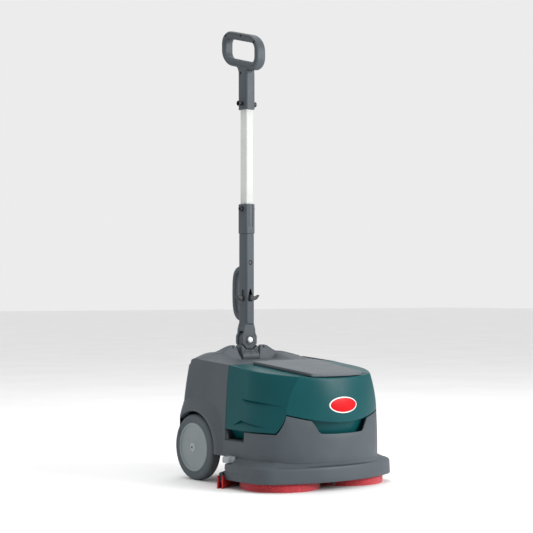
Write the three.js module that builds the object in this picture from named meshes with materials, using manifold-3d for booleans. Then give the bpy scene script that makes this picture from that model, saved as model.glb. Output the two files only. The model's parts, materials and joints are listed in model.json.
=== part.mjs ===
// Compact walk-behind floor scrubber with twin pads, a lift-off tank and a folding, telescoping mast.
// Millimetres, +Z up. The front faces -Y, the operator stands at +Y, X = 0 is the plane of symmetry.
import * as THREE from 'three';
import { mergeVertices } from 'three/addons/utils/BufferGeometryUtils.js';
import Module from 'manifold-3d';

const wasm = await Module();
wasm.setup();

// ---------------------------------------------------------------- driving dimensions
const GAP = 0.3; // clearance between touching pieces

const PAD = { radius: 95, spacing: 196, thickness: 19 };
const HOLDER = { radius: 86, top: 27, hubRadius: 18, hubTop: 46, socketRadius: 8.6, socketFloor: 31 };
const MOTOR = { radius: 42, top: 105, shaftRadius: 8, shaftEnd: 33, capRadius: 26, capTop: 106.5 };

const SKIRT = { bottom: 20, bandTop: 55, top: 69, wall: 3.5, rearY: 80, frontY: -121 };
const BODY = { seamZ: 175, rimZ: 267, wall: 4, rearCorner: 12, sideStartY: 30 };
const TANK = { rearY: 112, floor: 111, trayTop: 110.4, trayBottom: 107, setback: 14, wall: 3.5 };
const FLOOR = { bottom: 96, top: 100 }; // the slab that the battery stands on
const HOSE = { y: 140, radius: 11, bore: 8.6, inletZ: 248 };
const BOOT = { y: 152, radius: 16 };
const SEAM = { side: 131, front: 154, gap: 2.5, diagonalRear: -68, diagonalFront: -77 };
const LID = { frontX: 73, rearX: 99, frontY: -94, rearY: 110, thickness: 7.4, lift: 0.6 };
const HINGE = { y: 107.8, rise: 4, radius: 1.2, ear: 8, earX: 60, earRadius: 3.6 };

const WHEEL = { radius: 80.3, y: 237.6, outerX: 184, width: 32, hubRadius: 59.6, wellRadius: 88 };
const AXLE_RADIUS = 8;

const MAST = { y: 265, halfX: 12.8, halfY: 16.3 };
const RECLINE = { y: 260, z: 297, barrel: 16, pinRadius: 4.5 };
const TILT = { z: 339, bossRadius: 22.5, boltRadius: 4 };
const POST = { flareTop: 378, top: 608, shoulder: 478, leverBay: 390 };
const COLLAR = { bottom: 608.4, top: 684, grow: 1.4 };
const TUBE = { halfX: 10.8, halfY: 13.6, bottom: 590, top: 985, wall: 1.6 };
const SLEEVE = { bottom: 925, top: 1030, grow: 1.4 };
const GRIP = { y: 280, z: 1078.6, halfLength: 77.6, halfHeight: 45, corner: 38, rise: 0.25, halfX: 14 };
const WINDOW = { halfLength: 62.5, halfHeight: 24.5, corner: 15 };
const CARRY = { bottom: 388.5, top: 526, rearY: 313, bar: 13, halfX: 9 };
const LEVER = { z: 447, reach: 37, slotLow: 437, slotHigh: 466 };

const BADGE_SIZE = { halfX: 41, halfZ: 19, z: 197 };
const FLOAT = { y: 50, ball: 11, bore: 12.6, floor: 204 };
const BATTERY_BOX = { halfX: 95, frontY: 158, rearY: 246, top: 208 };
const SQUEEGEE = { bladeHeight: 30, bladeThickness: 3, webHalf: 4, top: 36 };
const KNOB = { x: 190, y: 75, bottom: 58, top: 69, radius: 17 };
const SLOT = {
  lowX: 27, highX: 40, rearX: 30, frontY: 243.5, humpY: 248.6, ridgeY: 270,
  floorZ: 252, baseZ: 290, humpZ: 326,
};

// ---------------------------------------------------------------- materials
function material(color, roughness, metalness = 0) {
  return new THREE.MeshStandardMaterial({ color, roughness, metalness });
}
const GREY = material(0x4f5860, 0.55);
const DARK_GREY = material(0x353b41, 0.6);
const TEAL = material(0x1f585c, 0.4);
const LIGHT_GREY = material(0xa4abb0, 0.5);
const WHITE = material(0xe6e8e4, 0.35);
const TUBE_WHITE = material(0xdcdedb, 0.3, 0.2);
const TYRE = material(0x50595c, 0.85);
const HUB = material(0x848f90, 0.6);
const RED_FIBRE = material(0xbe3e44, 0.95);
const RED_RUBBER = material(0xd63a3c, 0.6);
const STEEL = material(0x9a9da0, 0.35, 0.9);
const BLACK = material(0x191b1d, 0.6);
const BOARD_GREEN = material(0x2f5d3a, 0.6);
const BATTERY = material(0x2a2d31, 0.5);
const BADGE = material(0xb8282c, 0.4);

// ---------------------------------------------------------------- solids
function solidOf(geometry) {
  const bare = geometry.clone();
  bare.deleteAttribute('normal');
  bare.deleteAttribute('uv');
  const merged = mergeVertices(bare, 1e-4);
  const index = [];
  const raw = merged.index.array;
  for (let i = 0; i < raw.length; i += 3) {
    const [a, b, c] = [raw[i], raw[i + 1], raw[i + 2]];
    if (a !== b && b !== c && c !== a) index.push(a, b, c);
  }
  return new wasm.Manifold(new wasm.Mesh({
    numProp: 3,
    vertProperties: new Float32Array(merged.attributes.position.array),
    triVerts: new Uint32Array(index),
  }));
}

function geometryOf(solid) {
  const mesh = solid.getMesh();
  const geometry = new THREE.BufferGeometry();
  geometry.setAttribute('position', new THREE.BufferAttribute(new Float32Array(mesh.vertProperties), 3));
  geometry.setIndex(new THREE.BufferAttribute(new Uint32Array(mesh.triVerts), 1));
  geometry.computeVertexNormals();
  return geometry;
}

function join(first, ...others) {
  return geometryOf(others.reduce((sum, next) => sum.add(solidOf(next)), solidOf(first)));
}

function cut(first, ...others) {
  return geometryOf(others.reduce((rest, next) => rest.subtract(solidOf(next)), solidOf(first)));
}

function common(first, ...others) {
  return geometryOf(others.reduce((rest, next) => rest.intersect(solidOf(next)), solidOf(first)));
}

function box(x0, x1, y0, y1, z0, z1) {
  const geometry = new THREE.BoxGeometry(x1 - x0, y1 - y0, z1 - z0);
  return geometry.translate((x0 + x1) / 2, (y0 + y1) / 2, (z0 + z1) / 2);
}

function polygon(points) {
  return new THREE.Shape(points.map(([x, y]) => new THREE.Vector2(x, y)));
}

function extrude(shape, depth, bevel = 0, steps = 2) {
  return new THREE.ExtrudeGeometry(shape, {
    depth: depth - 2 * bevel,
    bevelEnabled: bevel > 0,
    bevelSize: bevel,
    bevelThickness: bevel,
    bevelOffset: -bevel,
    bevelSegments: steps,
    curveSegments: 3,
  }).translate(0, 0, bevel);
}

// An (x, y) outline raised from z0 to z1.
function upright(shape, z0, z1, bevel = 0) {
  return extrude(shape, z1 - z0, bevel).translate(0, 0, z0);
}

// A (y, z) outline drawn out from x0 to x1.
function sideways(shape, x0, x1, bevel = 0) {
  const turn = new THREE.Matrix4().makeBasis(
    new THREE.Vector3(0, 1, 0), new THREE.Vector3(0, 0, 1), new THREE.Vector3(1, 0, 0));
  return extrude(shape, x1 - x0, bevel).applyMatrix4(turn).translate(x0, 0, 0);
}

// An (x, z) outline drawn out from y0 to y1.
function lengthways(shape, y0, y1, bevel = 0) {
  return extrude(shape, y1 - y0, bevel).rotateX(Math.PI / 2).translate(0, y1, 0);
}

function cylinderZ(radius, x, y, z0, z1, sides = 24) {
  return new THREE.CylinderGeometry(radius, radius, z1 - z0, sides)
    .rotateX(Math.PI / 2).translate(x, y, (z0 + z1) / 2);
}

function cylinderX(radius, x0, x1, y, z, sides = 24) {
  return new THREE.CylinderGeometry(radius, radius, x1 - x0, sides)
    .rotateZ(Math.PI / 2).translate((x0 + x1) / 2, y, z);
}

function cylinderY(radius, y0, y1, x, z, sides = 24) {
  return new THREE.CylinderGeometry(radius, radius, y1 - y0, sides).translate(x, (y0 + y1) / 2, z);
}

// A profile of (radius, along) points turned about X, with the far side facing +X.
function turnedX(profile, sides, y, z) {
  const points = profile.map(([radius, along]) => new THREE.Vector2(radius, along));
  return new THREE.LatheGeometry(points, sides).rotateZ(-Math.PI / 2).translate(0, y, z);
}

function turnedZ(profile, sides, x, y) {
  const points = profile.map(([radius, along]) => new THREE.Vector2(radius, along));
  return new THREE.LatheGeometry(points, sides).rotateX(Math.PI / 2).translate(x, y, 0);
}

function roundedRectangle(halfX, halfY, radius, centreX = 0, centreY = 0) {
  const shape = new THREE.Shape();
  const [left, right] = [centreX - halfX, centreX + halfX];
  const [low, high] = [centreY - halfY, centreY + halfY];
  shape.absarc(right - radius, low + radius, radius, -Math.PI / 2, 0);
  shape.absarc(right - radius, high - radius, radius, 0, Math.PI / 2);
  shape.absarc(left + radius, high - radius, radius, Math.PI / 2, Math.PI);
  shape.absarc(left + radius, low + radius, radius, Math.PI, Math.PI * 1.5);
  return shape;
}

// A closed skin over a stack of level outlines that all have the same number of points.
function loft(rings) {
  const count = rings[0].length;
  const positions = rings.flat().flatMap((point) => [point.x, point.y, point.z]);
  const index = [];
  for (let level = 0; level + 1 < rings.length; level += 1) {
    for (let i = 0; i < count; i += 1) {
      const [a, b] = [level * count + i, level * count + ((i + 1) % count)];
      index.push(a, b, b + count, a, b + count, a + count);
    }
  }
  const top = (rings.length - 1) * count;
  const flat = rings[0].map((point) => new THREE.Vector2(point.x, point.y));
  for (const [a, b, c] of THREE.ShapeUtils.triangulateShape(flat, [])) {
    index.push(c, b, a);
  }
  const flatTop = rings.at(-1).map((point) => new THREE.Vector2(point.x, point.y));
  for (const [a, b, c] of THREE.ShapeUtils.triangulateShape(flatTop, [])) {
    index.push(top + a, top + b, top + c);
  }
  const geometry = new THREE.BufferGeometry();
  geometry.setAttribute('position', new THREE.BufferAttribute(new Float32Array(positions), 3));
  geometry.setIndex(index);
  return geometry;
}

function mirrored(geometry) {
  const solid = solidOf(geometry).mirror([1, 0, 0]);
  return geometryOf(solid);
}

const scrubber = new THREE.Group();

function part(name, geometry, finish) {
  const mesh = new THREE.Mesh(geometryOf(solidOf(geometry)), finish);
  mesh.name = name;
  scrubber.add(mesh);
}

// The same piece on both sides: the machine's right side is -X.
function pair(name, rightGeometry, finish) {
  part(`${name}_right`, rightGeometry, finish);
  part(`${name}_left`, mirrored(rightGeometry), finish);
}

// ---------------------------------------------------------------- body outline
// How far the walls lean in above the seam: they bow, so the lean grows faster than the height.
function leanAt(z) {
  const rise = Math.max(0, z - BODY.seamZ) / (BODY.rimZ - BODY.seamZ);
  return Math.pow(rise, 1.8);
}

function bodyAt(z, inset) {
  const lean = leanAt(z);
  const flare = Math.max(0, BODY.seamZ - z) / BODY.seamZ;
  const rearLean = Math.max(0, z - BODY.seamZ) / (BODY.rimZ - BODY.seamZ);
  return {
    frontY: -117 + 12 * lean - 4 * flare + inset,
    cornerX: 138 - 31 * lean + 24 * flare - inset * 0.8,
    cornerY: -75 - 12 * lean - 3 * flare + inset * 0.8,
    sideX: 173 - 6 * lean + 12 * flare - inset,
    rearY: 303 - 12 * rearLean - 6 * flare - inset,
    softness: z > BODY.seamZ ? 3 : 3 + 90 * flare,
  };
}

function quadratic(start, control, end, t) {
  return new THREE.QuadraticBezierCurve(start, control, end).getPoint(t);
}

// Half of the plan outline at one height, from the middle of the front to the middle of the back.
function bodyHalf(z, inset) {
  const at = bodyAt(z, inset);
  const drop = at.cornerY - at.frontY;
  const radius = (at.cornerX ** 2 + drop ** 2) / (2 * drop);
  const corner = new THREE.Vector2(at.cornerX, at.cornerY);
  const sideStart = new THREE.Vector2(at.sideX, BODY.sideStartY);
  const sideBulge = new THREE.Vector2(at.sideX - 1, BODY.sideStartY - 55);
  const points = [];
  const reach = at.cornerX - at.softness * 0.85;
  const frontSteps = 5;
  for (let i = 0; i <= frontSteps; i += 1) {
    const x = (reach * i) / frontSteps;
    points.push(new THREE.Vector2(x, at.frontY + radius - Math.sqrt(radius ** 2 - x ** 2)));
  }
  const frontEnd = points.at(-1);
  const sideT = at.softness / 120;
  const sideEnd = quadratic(corner, sideBulge, sideStart, sideT);
  for (const t of [0.33, 0.66, 1]) {
    points.push(quadratic(frontEnd, corner, sideEnd, t));
  }
  for (const t of [0.33, 0.66, 1]) {
    points.push(quadratic(corner, sideBulge, sideStart, sideT + (1 - sideT) * t));
  }
  for (const angle of [0, 45, 90]) {
    const turn = THREE.MathUtils.degToRad(angle);
    points.push(new THREE.Vector2(
      at.sideX - BODY.rearCorner * (1 - Math.cos(turn)),
      at.rearY - BODY.rearCorner * (1 - Math.sin(turn))));
  }
  return points;
}

function closedRing(half, z) {
  const other = half.slice(1).reverse().map((point) => new THREE.Vector2(-point.x, point.y));
  return [...half, ...other].map((point) => new THREE.Vector3(point.x, point.y, z));
}

function bodyBlock(z0, z1, inset) {
  const levels = [z0];
  for (const z of [120, 175, 205, 235, 267, 300]) {
    if (z > z0 && z < z1) levels.push(z);
  }
  levels.push(z1);
  return loft(levels.map((z) => closedRing(bodyHalf(z, inset), z)));
}

// Height of the tank's top plane, which climbs towards the back.
function roofZ(y) {
  return 262 + 0.11 * (y + 105);
}

function roofZone(lift) {
  return sideways(polygon([
    [-200, 0], [TANK.rearY + 60, 0], [TANK.rearY + 60, roofZ(TANK.rearY + 60) + lift],
    [-200, roofZ(-200) + lift]]), -250, 250);
}

// Everything below the seam between the grey lower walls and the tank.
function belowSeam(raise) {
  const sideProfile = sideways(polygon([
    [-200, 0], [400, 0], [400, SEAM.side + raise], [SEAM.diagonalRear + raise / 2, SEAM.side + raise],
    [SEAM.diagonalFront + raise / 2, 177 + raise], [-200, 177 + raise]]), -250, 250);
  const crown = [[250, 0]];
  for (let x = 180; x >= -180; x -= 30) {
    crown.push([x, SEAM.front + raise + 21 * (x / 138) ** 2]);
  }
  crown.push([-250, 0]);
  return common(sideProfile, lengthways(polygon(crown), -200, 400));
}

// The top edge of the walls behind the tank.
function belowRim() {
  return sideways(polygon([
    [TANK.rearY + 2, 0], [400, 0], [400, 270], [291, 283], [279, 288], [241, 294.5],
    [TANK.rearY + 2, 286]]), -250, 250);
}

// ---------------------------------------------------------------- brush deck with its skirt
function skirtHalf(inset) {
  const points = [];
  const frontRadius = 390;
  for (const x of [0, 40, 80, 115, 145]) {
    points.push([x, SKIRT.frontY + frontRadius - Math.sqrt(frontRadius ** 2 - x ** 2) + inset]);
  }
  const cornerCentre = { x: 145, y: -25, radius: 61 };
  for (const angle of [-62, -45, -28, -10]) {
    const turn = THREE.MathUtils.degToRad(angle);
    points.push([
      cornerCentre.x + (cornerCentre.radius - inset) * Math.cos(turn),
      cornerCentre.y + (cornerCentre.radius - inset) * Math.sin(turn)]);
  }
  points.push([208 - inset, 5], [209 - inset, 40], [206 - inset, 62]);
  points.push([199 - inset, SKIRT.rearY - 3 - inset], [187 - inset, SKIRT.rearY - inset]);
  return points.map(([x, y]) => new THREE.Vector2(x, y));
}

function skirtBlock(drop, inset) {
  const bottom = drop > 0 ? SKIRT.bottom - 10 : SKIRT.bottom;
  const levels = [[bottom, 0], [SKIRT.bandTop - 3, 2], [SKIRT.bandTop, 7], [SKIRT.top, 34]];
  return loft(levels.map(([z, lean], level) => {
    const height = level === 0 ? z : z - drop;
    return closedRing(skirtHalf(inset + lean), height);
  }));
}

function brushDeck() {
  const x = PAD.spacing / 2;
  const openings = [-x, x].map((side) => cylinderZ(MOTOR.shaftRadius + 4, side, 0, 30, 90, 16));
  const knobSeats = [-KNOB.x, KNOB.x].map((side) => (
    cylinderZ(KNOB.radius + 1.5, side, KNOB.y, KNOB.bottom - GAP, 90)));
  const studHoles = [-KNOB.x, KNOB.x].map((side) => cylinderZ(4.6, side, KNOB.y, 40, 90, 10));
  const openRear = box(-176, 176, 55, 120, 0, 62);
  const earRoom = [-KNOB.x, KNOB.x].map((side) => box(side - 14, side + 11, 62, 120, 0, 43));
  return cut(
    skirtBlock(0, 0), skirtBlock(SKIRT.wall, SKIRT.wall), openRear, ...earRoom, ...openings, ...knobSeats,
    ...studHoles);
}

// ---------------------------------------------------------------- chassis shell
function frontGripNotch() {
  const outline = [[-72, 131], [72, 131], [84, 160], [84, 200], [-84, 200], [-84, 160]];
  return lengthways(polygon(outline), -160, -80);
}

function sideGripNotches() {
  return [-1, 1].map((side) => {
    const [near, far] = [150 * side, 200 * side].sort((a, b) => a - b);
    return box(near, far, 43, TANK.rearY - 1, 108, 160);
  });
}

function wheelWell(side, radius, innerX, outerX) {
  const [low, high] = [innerX * side, outerX * side].sort((a, b) => a - b);
  return cylinderX(radius, low, high, WHEEL.y, WHEEL.radius, 32);
}

// The raised lip round each wheel opening.
function fender(side) {
  const ring = turnedX([[0, 160], [112, 160], [112, 171], [101, 182], [95, 184], [0, 184]], 32,
    WHEEL.y, WHEEL.radius);
  const flare = side > 0 ? ring : mirrored(ring);
  return common(flare, box(-250, 250, 0, 296, 71, 400));
}

function chassisShell() {
  const rearZone = common(bodyBlock(69.3, 300, 0), belowRim());
  const outer = join(common(bodyBlock(69.3, 240, 0), belowSeam(0)), rearZone, fender(-1), fender(1));
  const lowCavity = common(
    bodyBlock(60, TANK.trayBottom, BODY.wall), box(-250, 250, -200, TANK.rearY, 0, 300));
  const tankBay = common(
    bodyBlock(TANK.trayTop, 300, BODY.wall), box(-250, 250, -200, TANK.rearY, 0, 300));
  const rearCavity = common(
    bodyBlock(FLOOR.top, 310, BODY.wall), box(-250, 250, TANK.rearY + 5, 400, 0, 400));
  const rearUnder = common(
    bodyBlock(60, FLOOR.bottom, BODY.wall), box(-250, 250, TANK.rearY - 1, 400, 0, 400));
  const coverSeat = common(
    bodyBlock(276 - GAP, 320, BODY.wall), box(-250, 250, TANK.rearY + 1, 400, 0, 400));
  const hollow = cut(
    outer, coverSeat, lowCavity, tankBay, rearCavity, rearUnder, frontGripNotch(), ...sideGripNotches(),
    box(-SLOT.rearX, SLOT.rearX, 250, 400, SLOT.floorZ, 330));
  const wells = [-1, 1].map((side) => common(
    wheelWell(side, WHEEL.wellRadius + 3, 143, 178), bodyBlock(71, 290, 1)));
  const openings = [-1, 1].map((side) => wheelWell(side, WHEEL.wellRadius, 146, 230));
  const axleHole = cylinderX(AXLE_RADIUS + 0.5, -230, 230, WHEEL.y, WHEEL.radius);
  const socketHole = cylinderY(11.5, 270, 320, 70, 200);
  const switchHole = box(-86, -54, 270, 320, 186, 214);
  const bootHole = cylinderZ(HOSE.bore, 0, HOSE.y + 4, 90, 110, 16);
  const inletHole = cylinderY(HOSE.radius + 1, 100, 122, 0, HOSE.inletZ, 16);
  return cut(join(hollow, ...wells), ...openings, axleHole, socketHole, switchHole, bootHole, inletHole);
}

// ---------------------------------------------------------------- rear cover with the mast humps
function stepUp(value, low, high) {
  return THREE.MathUtils.smoothstep(value, low, high);
}

// Height of the ridge across the machine, highest at the two humps beside the mast.
function ridgeZ(x) {
  const away = Math.abs(x);
  return SLOT.humpZ - 17 * stepUp(away, 60, 95) - 17 * stepUp(away, 95, 190);
}

function coverZ(x, y) {
  const climb = (y - TANK.rearY) / (SLOT.ridgeY - TANK.rearY);
  const valley = 286 + 5 * Math.min(1, climb);
  const shoulder = 286 + (Math.min(309, ridgeZ(x)) - 286) * Math.min(1, climb) ** 2;
  const side = valley + Math.max(0, shoulder - valley) * stepUp(Math.abs(x), 64, 88);
  const slope = (SLOT.humpZ - SLOT.baseZ) / (SLOT.ridgeY - SLOT.humpY);
  const hump = Math.min(ridgeZ(x), SLOT.baseZ + slope * (y - SLOT.humpY));
  return Math.max(side, hump);
}

function coverBlock(bottom, drop) {
  const columns = 24;
  const rows = [112, 140, 170, 200, 225, 240, 248.6, 256, 263, 270, 280, 294];
  const halfX = 180;
  const heights = rows.map((y) => Array.from({ length: columns + 1 }, (unused, i) => {
    const x = -halfX + (2 * halfX * i) / columns;
    return new THREE.Vector3(x, y, coverZ(x, y) - drop);
  }));
  const rings = heights.map((row) => {
    const [first, last] = [row[0], row.at(-1)];
    return [...row, new THREE.Vector3(last.x, last.y, bottom), new THREE.Vector3(first.x, first.y, bottom)];
  });
  return curtain(rings);
}

// A closed skin over cross sections that follow each other along Y.
function curtain(rings) {
  const count = rings[0].length;
  const positions = rings.flat().flatMap((point) => [point.x, point.y, point.z]);
  const index = [];
  for (let row = 0; row + 1 < rings.length; row += 1) {
    for (let i = 0; i < count; i += 1) {
      const [a, b] = [row * count + i, row * count + ((i + 1) % count)];
      index.push(a, b, b + count, a, b + count, a + count);
    }
  }
  const end = (rings.length - 1) * count;
  const flat = rings[0].map((point) => new THREE.Vector2(point.x, point.z));
  for (const [a, b, c] of THREE.ShapeUtils.triangulateShape(flat, [])) {
    index.push(a, b, c);
  }
  const flatEnd = rings.at(-1).map((point) => new THREE.Vector2(point.x, point.z));
  for (const [a, b, c] of THREE.ShapeUtils.triangulateShape(flatEnd, [])) {
    index.push(end + c, end + b, end + a);
  }
  const geometry = new THREE.BufferGeometry();
  geometry.setAttribute('position', new THREE.BufferAttribute(new Float32Array(positions), 3));
  geometry.setIndex(index);
  return geometry;
}

// The opening that the mast folds back through, wider at the top than at its base.
function mastSlot(wall, rear) {
  const [low, high] = [SLOT.lowX + wall, SLOT.highX + wall];
  return lengthways(polygon([
    [-low, 200], [low, 200], [low, SLOT.baseZ], [high, SLOT.humpZ], [high, 400], [-high, 400],
    [-high, SLOT.humpZ], [-low, SLOT.baseZ]]), SLOT.frontY - wall, rear);
}

function rearCover() {
  const front = TANK.rearY + 2.3;
  const plan = common(bodyBlock(250, 340, BODY.wall + GAP), box(-250, 250, front, 400, 0, 400));
  const innerPlan = common(
    bodyBlock(240, 340, BODY.wall + GAP + 2.5), box(-250, 250, front + 2.5, 400, 0, 400));
  const slotWalls = mastSlot(3, 400);
  const hollow = cut(common(coverBlock(240, 4), innerPlan), slotWalls);
  const lowEdge = box(-250, 250, 0, 400, 0, 276);
  const slot = mastSlot(0, 400);
  const pinHole = cylinderX(RECLINE.pinRadius + 0.4, -60, 60, RECLINE.y, RECLINE.z);
  const screwWells = [-1, 1].map((side) => cylinderZ(2.6, 50 * side, 267.5, 316, 340, 12));
  return cut(common(coverBlock(240, 0), plan), hollow, lowEdge, slot, pinHole, ...screwWells);
}

// Steel bracket under the cover that carries the mast's recline pin.
function mastBracket() {
  const cheek = polygon([[250, 251.2], [265, 251.2], [265, 301.5], [259.5, 300], [250, 284]]);
  const cheeks = [[-38.5, -34.5], [34.5, 38.5]].map(([x0, x1]) => sideways(cheek, x0, x1));
  const plate = box(-38.5, 38.5, 250, 276.2, 246, 251.6);
  const hole = cylinderX(RECLINE.pinRadius + GAP, -60, 60, RECLINE.y, RECLINE.z);
  return cut(join(plate, ...cheeks), hole);
}

// ---------------------------------------------------------------- tank and lid
function lidOutline(inset) {
  const rear = LID.rearY - inset;
  const chamfer = 9;
  const points = [];
  for (const x of [-LID.frontX + chamfer, -35, 0, 35, LID.frontX - chamfer]) {
    points.push([x * (1 - inset / LID.frontX), LID.frontY - 9 + inset + 10 * (x / LID.frontX) ** 2]);
  }
  points.push([LID.frontX - inset + 1, LID.frontY + 10 + inset], [LID.rearX - inset, rear]);
  points.push([-LID.rearX + inset, rear], [-LID.frontX + inset - 1, LID.frontY + 10 + inset]);
  return polygon(points);
}

function lidSlab(low, high) {
  return sideways(polygon([
    [-150, roofZ(-150) + low], [150, roofZ(150) + low], [150, roofZ(150) + high],
    [-150, roofZ(-150) + high]]), -200, 200);
}

function hingeZ() {
  return roofZ(HINGE.y) + HINGE.rise;
}

function hingeEars() {
  return [-1, 1].map((side) => {
    const [x0, x1] = [HINGE.earX * side - HINGE.ear / 2, HINGE.earX * side + HINGE.ear / 2];
    const knuckle = cylinderX(HINGE.earRadius, x0, x1, HINGE.y, hingeZ(), 16);
    const foot = box(x0, x1, HINGE.y - HINGE.earRadius, HINGE.y + HINGE.earRadius, hingeZ() - 7, hingeZ());
    return join(knuckle, foot);
  });
}

function hingeNotches() {
  const reach = HINGE.earRadius + 1;
  const half = HINGE.ear / 2 + 0.6;
  return [-1, 1].map((side) => (
    box(HINGE.earX * side - half, HINGE.earX * side + half, HINGE.y - reach, HINGE.y + reach, 200, 320)));
}

function tankShell() {
  const ahead = box(-250, 250, -200, TANK.rearY, 0, 400);
  const skin = cut(common(bodyBlock(90, 300, 0), roofZone(0), ahead), belowSeam(SEAM.gap));
  const sunk = common(bodyBlock(TANK.floor, 200, TANK.setback), roofZone(-20), ahead);
  const chamber = common(
    bodyBlock(TANK.floor + TANK.wall, 300, TANK.setback + TANK.wall), roofZone(-TANK.wall),
    box(-250, 250, -200, TANK.rearY - TANK.wall, 0, 400));
  const upperChamber = common(
    bodyBlock(190, 300, TANK.wall), roofZone(-TANK.wall),
    box(-250, 250, -200, TANK.rearY - TANK.wall, 0, 400));
  const mouth = upright(lidOutline(12), 200, 330);
  const hingeHole = cylinderX(HINGE.radius + GAP, -120, 120, HINGE.y, hingeZ(), 12);
  const inlet = cylinderY(HOSE.bore, 95, 120, 0, HOSE.inletZ, 16);
  return cut(join(skin, sunk, ...hingeEars()), chamber, upperChamber, mouth, hingeHole, inlet);
}

function recoveryTub() {
  const outer = common(upright(lidOutline(13), 150, 330), roofZone(-0.5));
  const inner = upright(lidOutline(16), 153, 340);
  return cut(outer, inner, cylinderY(HOSE.bore, 90, 110, 0, HOSE.inletZ, 16));
}

function lid() {
  const plate = common(upright(lidOutline(0), 230, 330), lidSlab(LID.lift, LID.lift + LID.thickness));
  const pinHole = cylinderX(HINGE.radius + GAP, -120, 120, HINGE.y, hingeZ(), 12);
  return cut(plate, ...hingeNotches(), pinHole);
}

function oval(halfWidth, halfHeight, centreX, centreY, sides) {
  const points = [];
  for (let i = 0; i < sides; i += 1) {
    const angle = (i / sides) * Math.PI * 2;
    points.push([centreX + halfWidth * Math.cos(angle), centreY + halfHeight * Math.sin(angle)]);
  }
  return polygon(points);
}

function badge() {
  const slab = lengthways(oval(BADGE_SIZE.halfX, BADGE_SIZE.halfZ, 0, BADGE_SIZE.z, 20), -140, -80);
  return common(cut(slab, bodyBlock(90, 300, -GAP)), bodyBlock(90, 300, -2));
}

// ---------------------------------------------------------------- wheels
function tyre() {
  const [inner, outer] = [WHEEL.outerX - WHEEL.width, WHEEL.outerX];
  const r = WHEEL.radius;
  const profile = [
    [WHEEL.hubRadius + GAP, inner], [r - 8, inner], [r - 3, inner + 2.5], [r, inner + 8],
    [r, outer - 9], [r - 3, outer - 3.5], [r - 9, outer - 0.5], [WHEEL.hubRadius + GAP, outer - 1],
    [WHEEL.hubRadius + GAP, inner]];
  return mirrored(turnedX(profile, 28, WHEEL.y, WHEEL.radius));
}

function hub() {
  const bore = AXLE_RADIUS + GAP;
  const profile = [
    [bore, 154], [18, 154], [18, 172], [WHEEL.hubRadius - 4, 174], [WHEEL.hubRadius - 4, 156],
    [WHEEL.hubRadius, 156], [WHEEL.hubRadius, 183], [55, 184], [52, 181], [14, 183.6], [bore, 184],
    [bore, 154]];
  return mirrored(turnedX(profile, 28, WHEEL.y, WHEEL.radius));
}

function axleCap() {
  const profile = [[3.4, 184.3], [11, 184.3], [7, 186.8], [3.4, 186.8], [3.4, 184.3]];
  return mirrored(turnedX(profile, 20, WHEEL.y, WHEEL.radius));
}

// ---------------------------------------------------------------- scrubbing pads and their drives
function padHolder(x) {
  const r = HOLDER;
  return turnedZ([
    [0, PAD.thickness + GAP], [r.radius, PAD.thickness + GAP], [r.radius, r.top - 2], [40, r.top],
    [r.hubRadius, r.top + 6], [r.hubRadius, r.hubTop], [r.socketRadius, r.hubTop],
    [r.socketRadius, r.socketFloor], [0, r.socketFloor]], 24, x, 0);
}

function padDisc(x) {
  const r = PAD.radius;
  return turnedZ([[0, 0], [r - 1, 0], [r, 2], [r, PAD.thickness - 2],
    [r - 1, PAD.thickness], [0, PAD.thickness]], 32, x, 0);
}

function brushMotor(x) {
  const m = MOTOR;
  return turnedZ([
    [0, m.shaftEnd], [m.shaftRadius, m.shaftEnd], [m.shaftRadius, SKIRT.top + GAP],
    [m.radius, SKIRT.top + GAP], [m.radius, 88], [m.radius - 4, 92], [m.radius - 4, m.top],
    [m.capRadius, m.top], [m.capRadius, m.capTop], [0, m.capTop]], 20, x, 0);
}

// ---------------------------------------------------------------- squeegee
// The squeegee sweeps from the wing tips beside the skirt back to its middle behind the pads.
function squeegeeLine(steps = 20) {
  const half = [[0, 150], [70, 144], [130, 126], [180, 98], [222, 69]];
  const whole = [...half.slice(1).reverse().map(([x, y]) => [-x, y]), ...half];
  const curve = new THREE.SplineCurve(whole.map(([x, y]) => new THREE.Vector2(x, y)));
  return curve.getPoints(steps).map((point, i) => ({ point, normal: normalAt(curve, i / steps) }));
}

function normalAt(curve, t) {
  const tangent = curve.getTangent(t);
  return new THREE.Vector2(-tangent.y, tangent.x);
}

// A band along the squeegee between two offsets from its centre line; positive is to the rear.
function squeegeeBand(front, rear, z0, z1, trim = 0) {
  const line = squeegeeLine().slice(trim, trim ? -trim : undefined);
  const near = line.map(({ point, normal }) => [point.x + normal.x * front, point.y + normal.y * front]);
  const far = line.map(({ point, normal }) => [point.x + normal.x * rear, point.y + normal.y * rear]);
  return upright(polygon([...near, ...far.reverse()]), z0, z1);
}

function squeegeeHolder() {
  const web = squeegeeBand(-SQUEEGEE.webHalf, SQUEEGEE.webHalf, 9, SQUEEGEE.top);
  const cap = squeegeeBand(-9, 9, SQUEEGEE.bladeHeight + GAP, SQUEEGEE.top, 1);
  const neck = cut(
    cylinderZ(24, 0, BOOT.y, SQUEEGEE.bladeHeight + GAP, SQUEEGEE.top + 2),
    cylinderZ(15.6, 0, BOOT.y, 0, 60));
  const [low, high] = [SQUEEGEE.bladeHeight + GAP, SQUEEGEE.top];
  const ears = [-1, 1].map((side) => join(
    cylinderZ(9, KNOB.x * side, KNOB.y, low, high, 16),
    box(KNOB.x * side - 9, KNOB.x * side + 7, KNOB.y, KNOB.y + 15, low, high)));
  const studRoom = [-1, 1].map((side) => cylinderZ(6, KNOB.x * side, KNOB.y, 0, 60, 12));
  return cut(join(web, cap, neck, ...ears), cylinderZ(3.8, 0, BOOT.y, 0, 60), ...studRoom);
}

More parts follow.
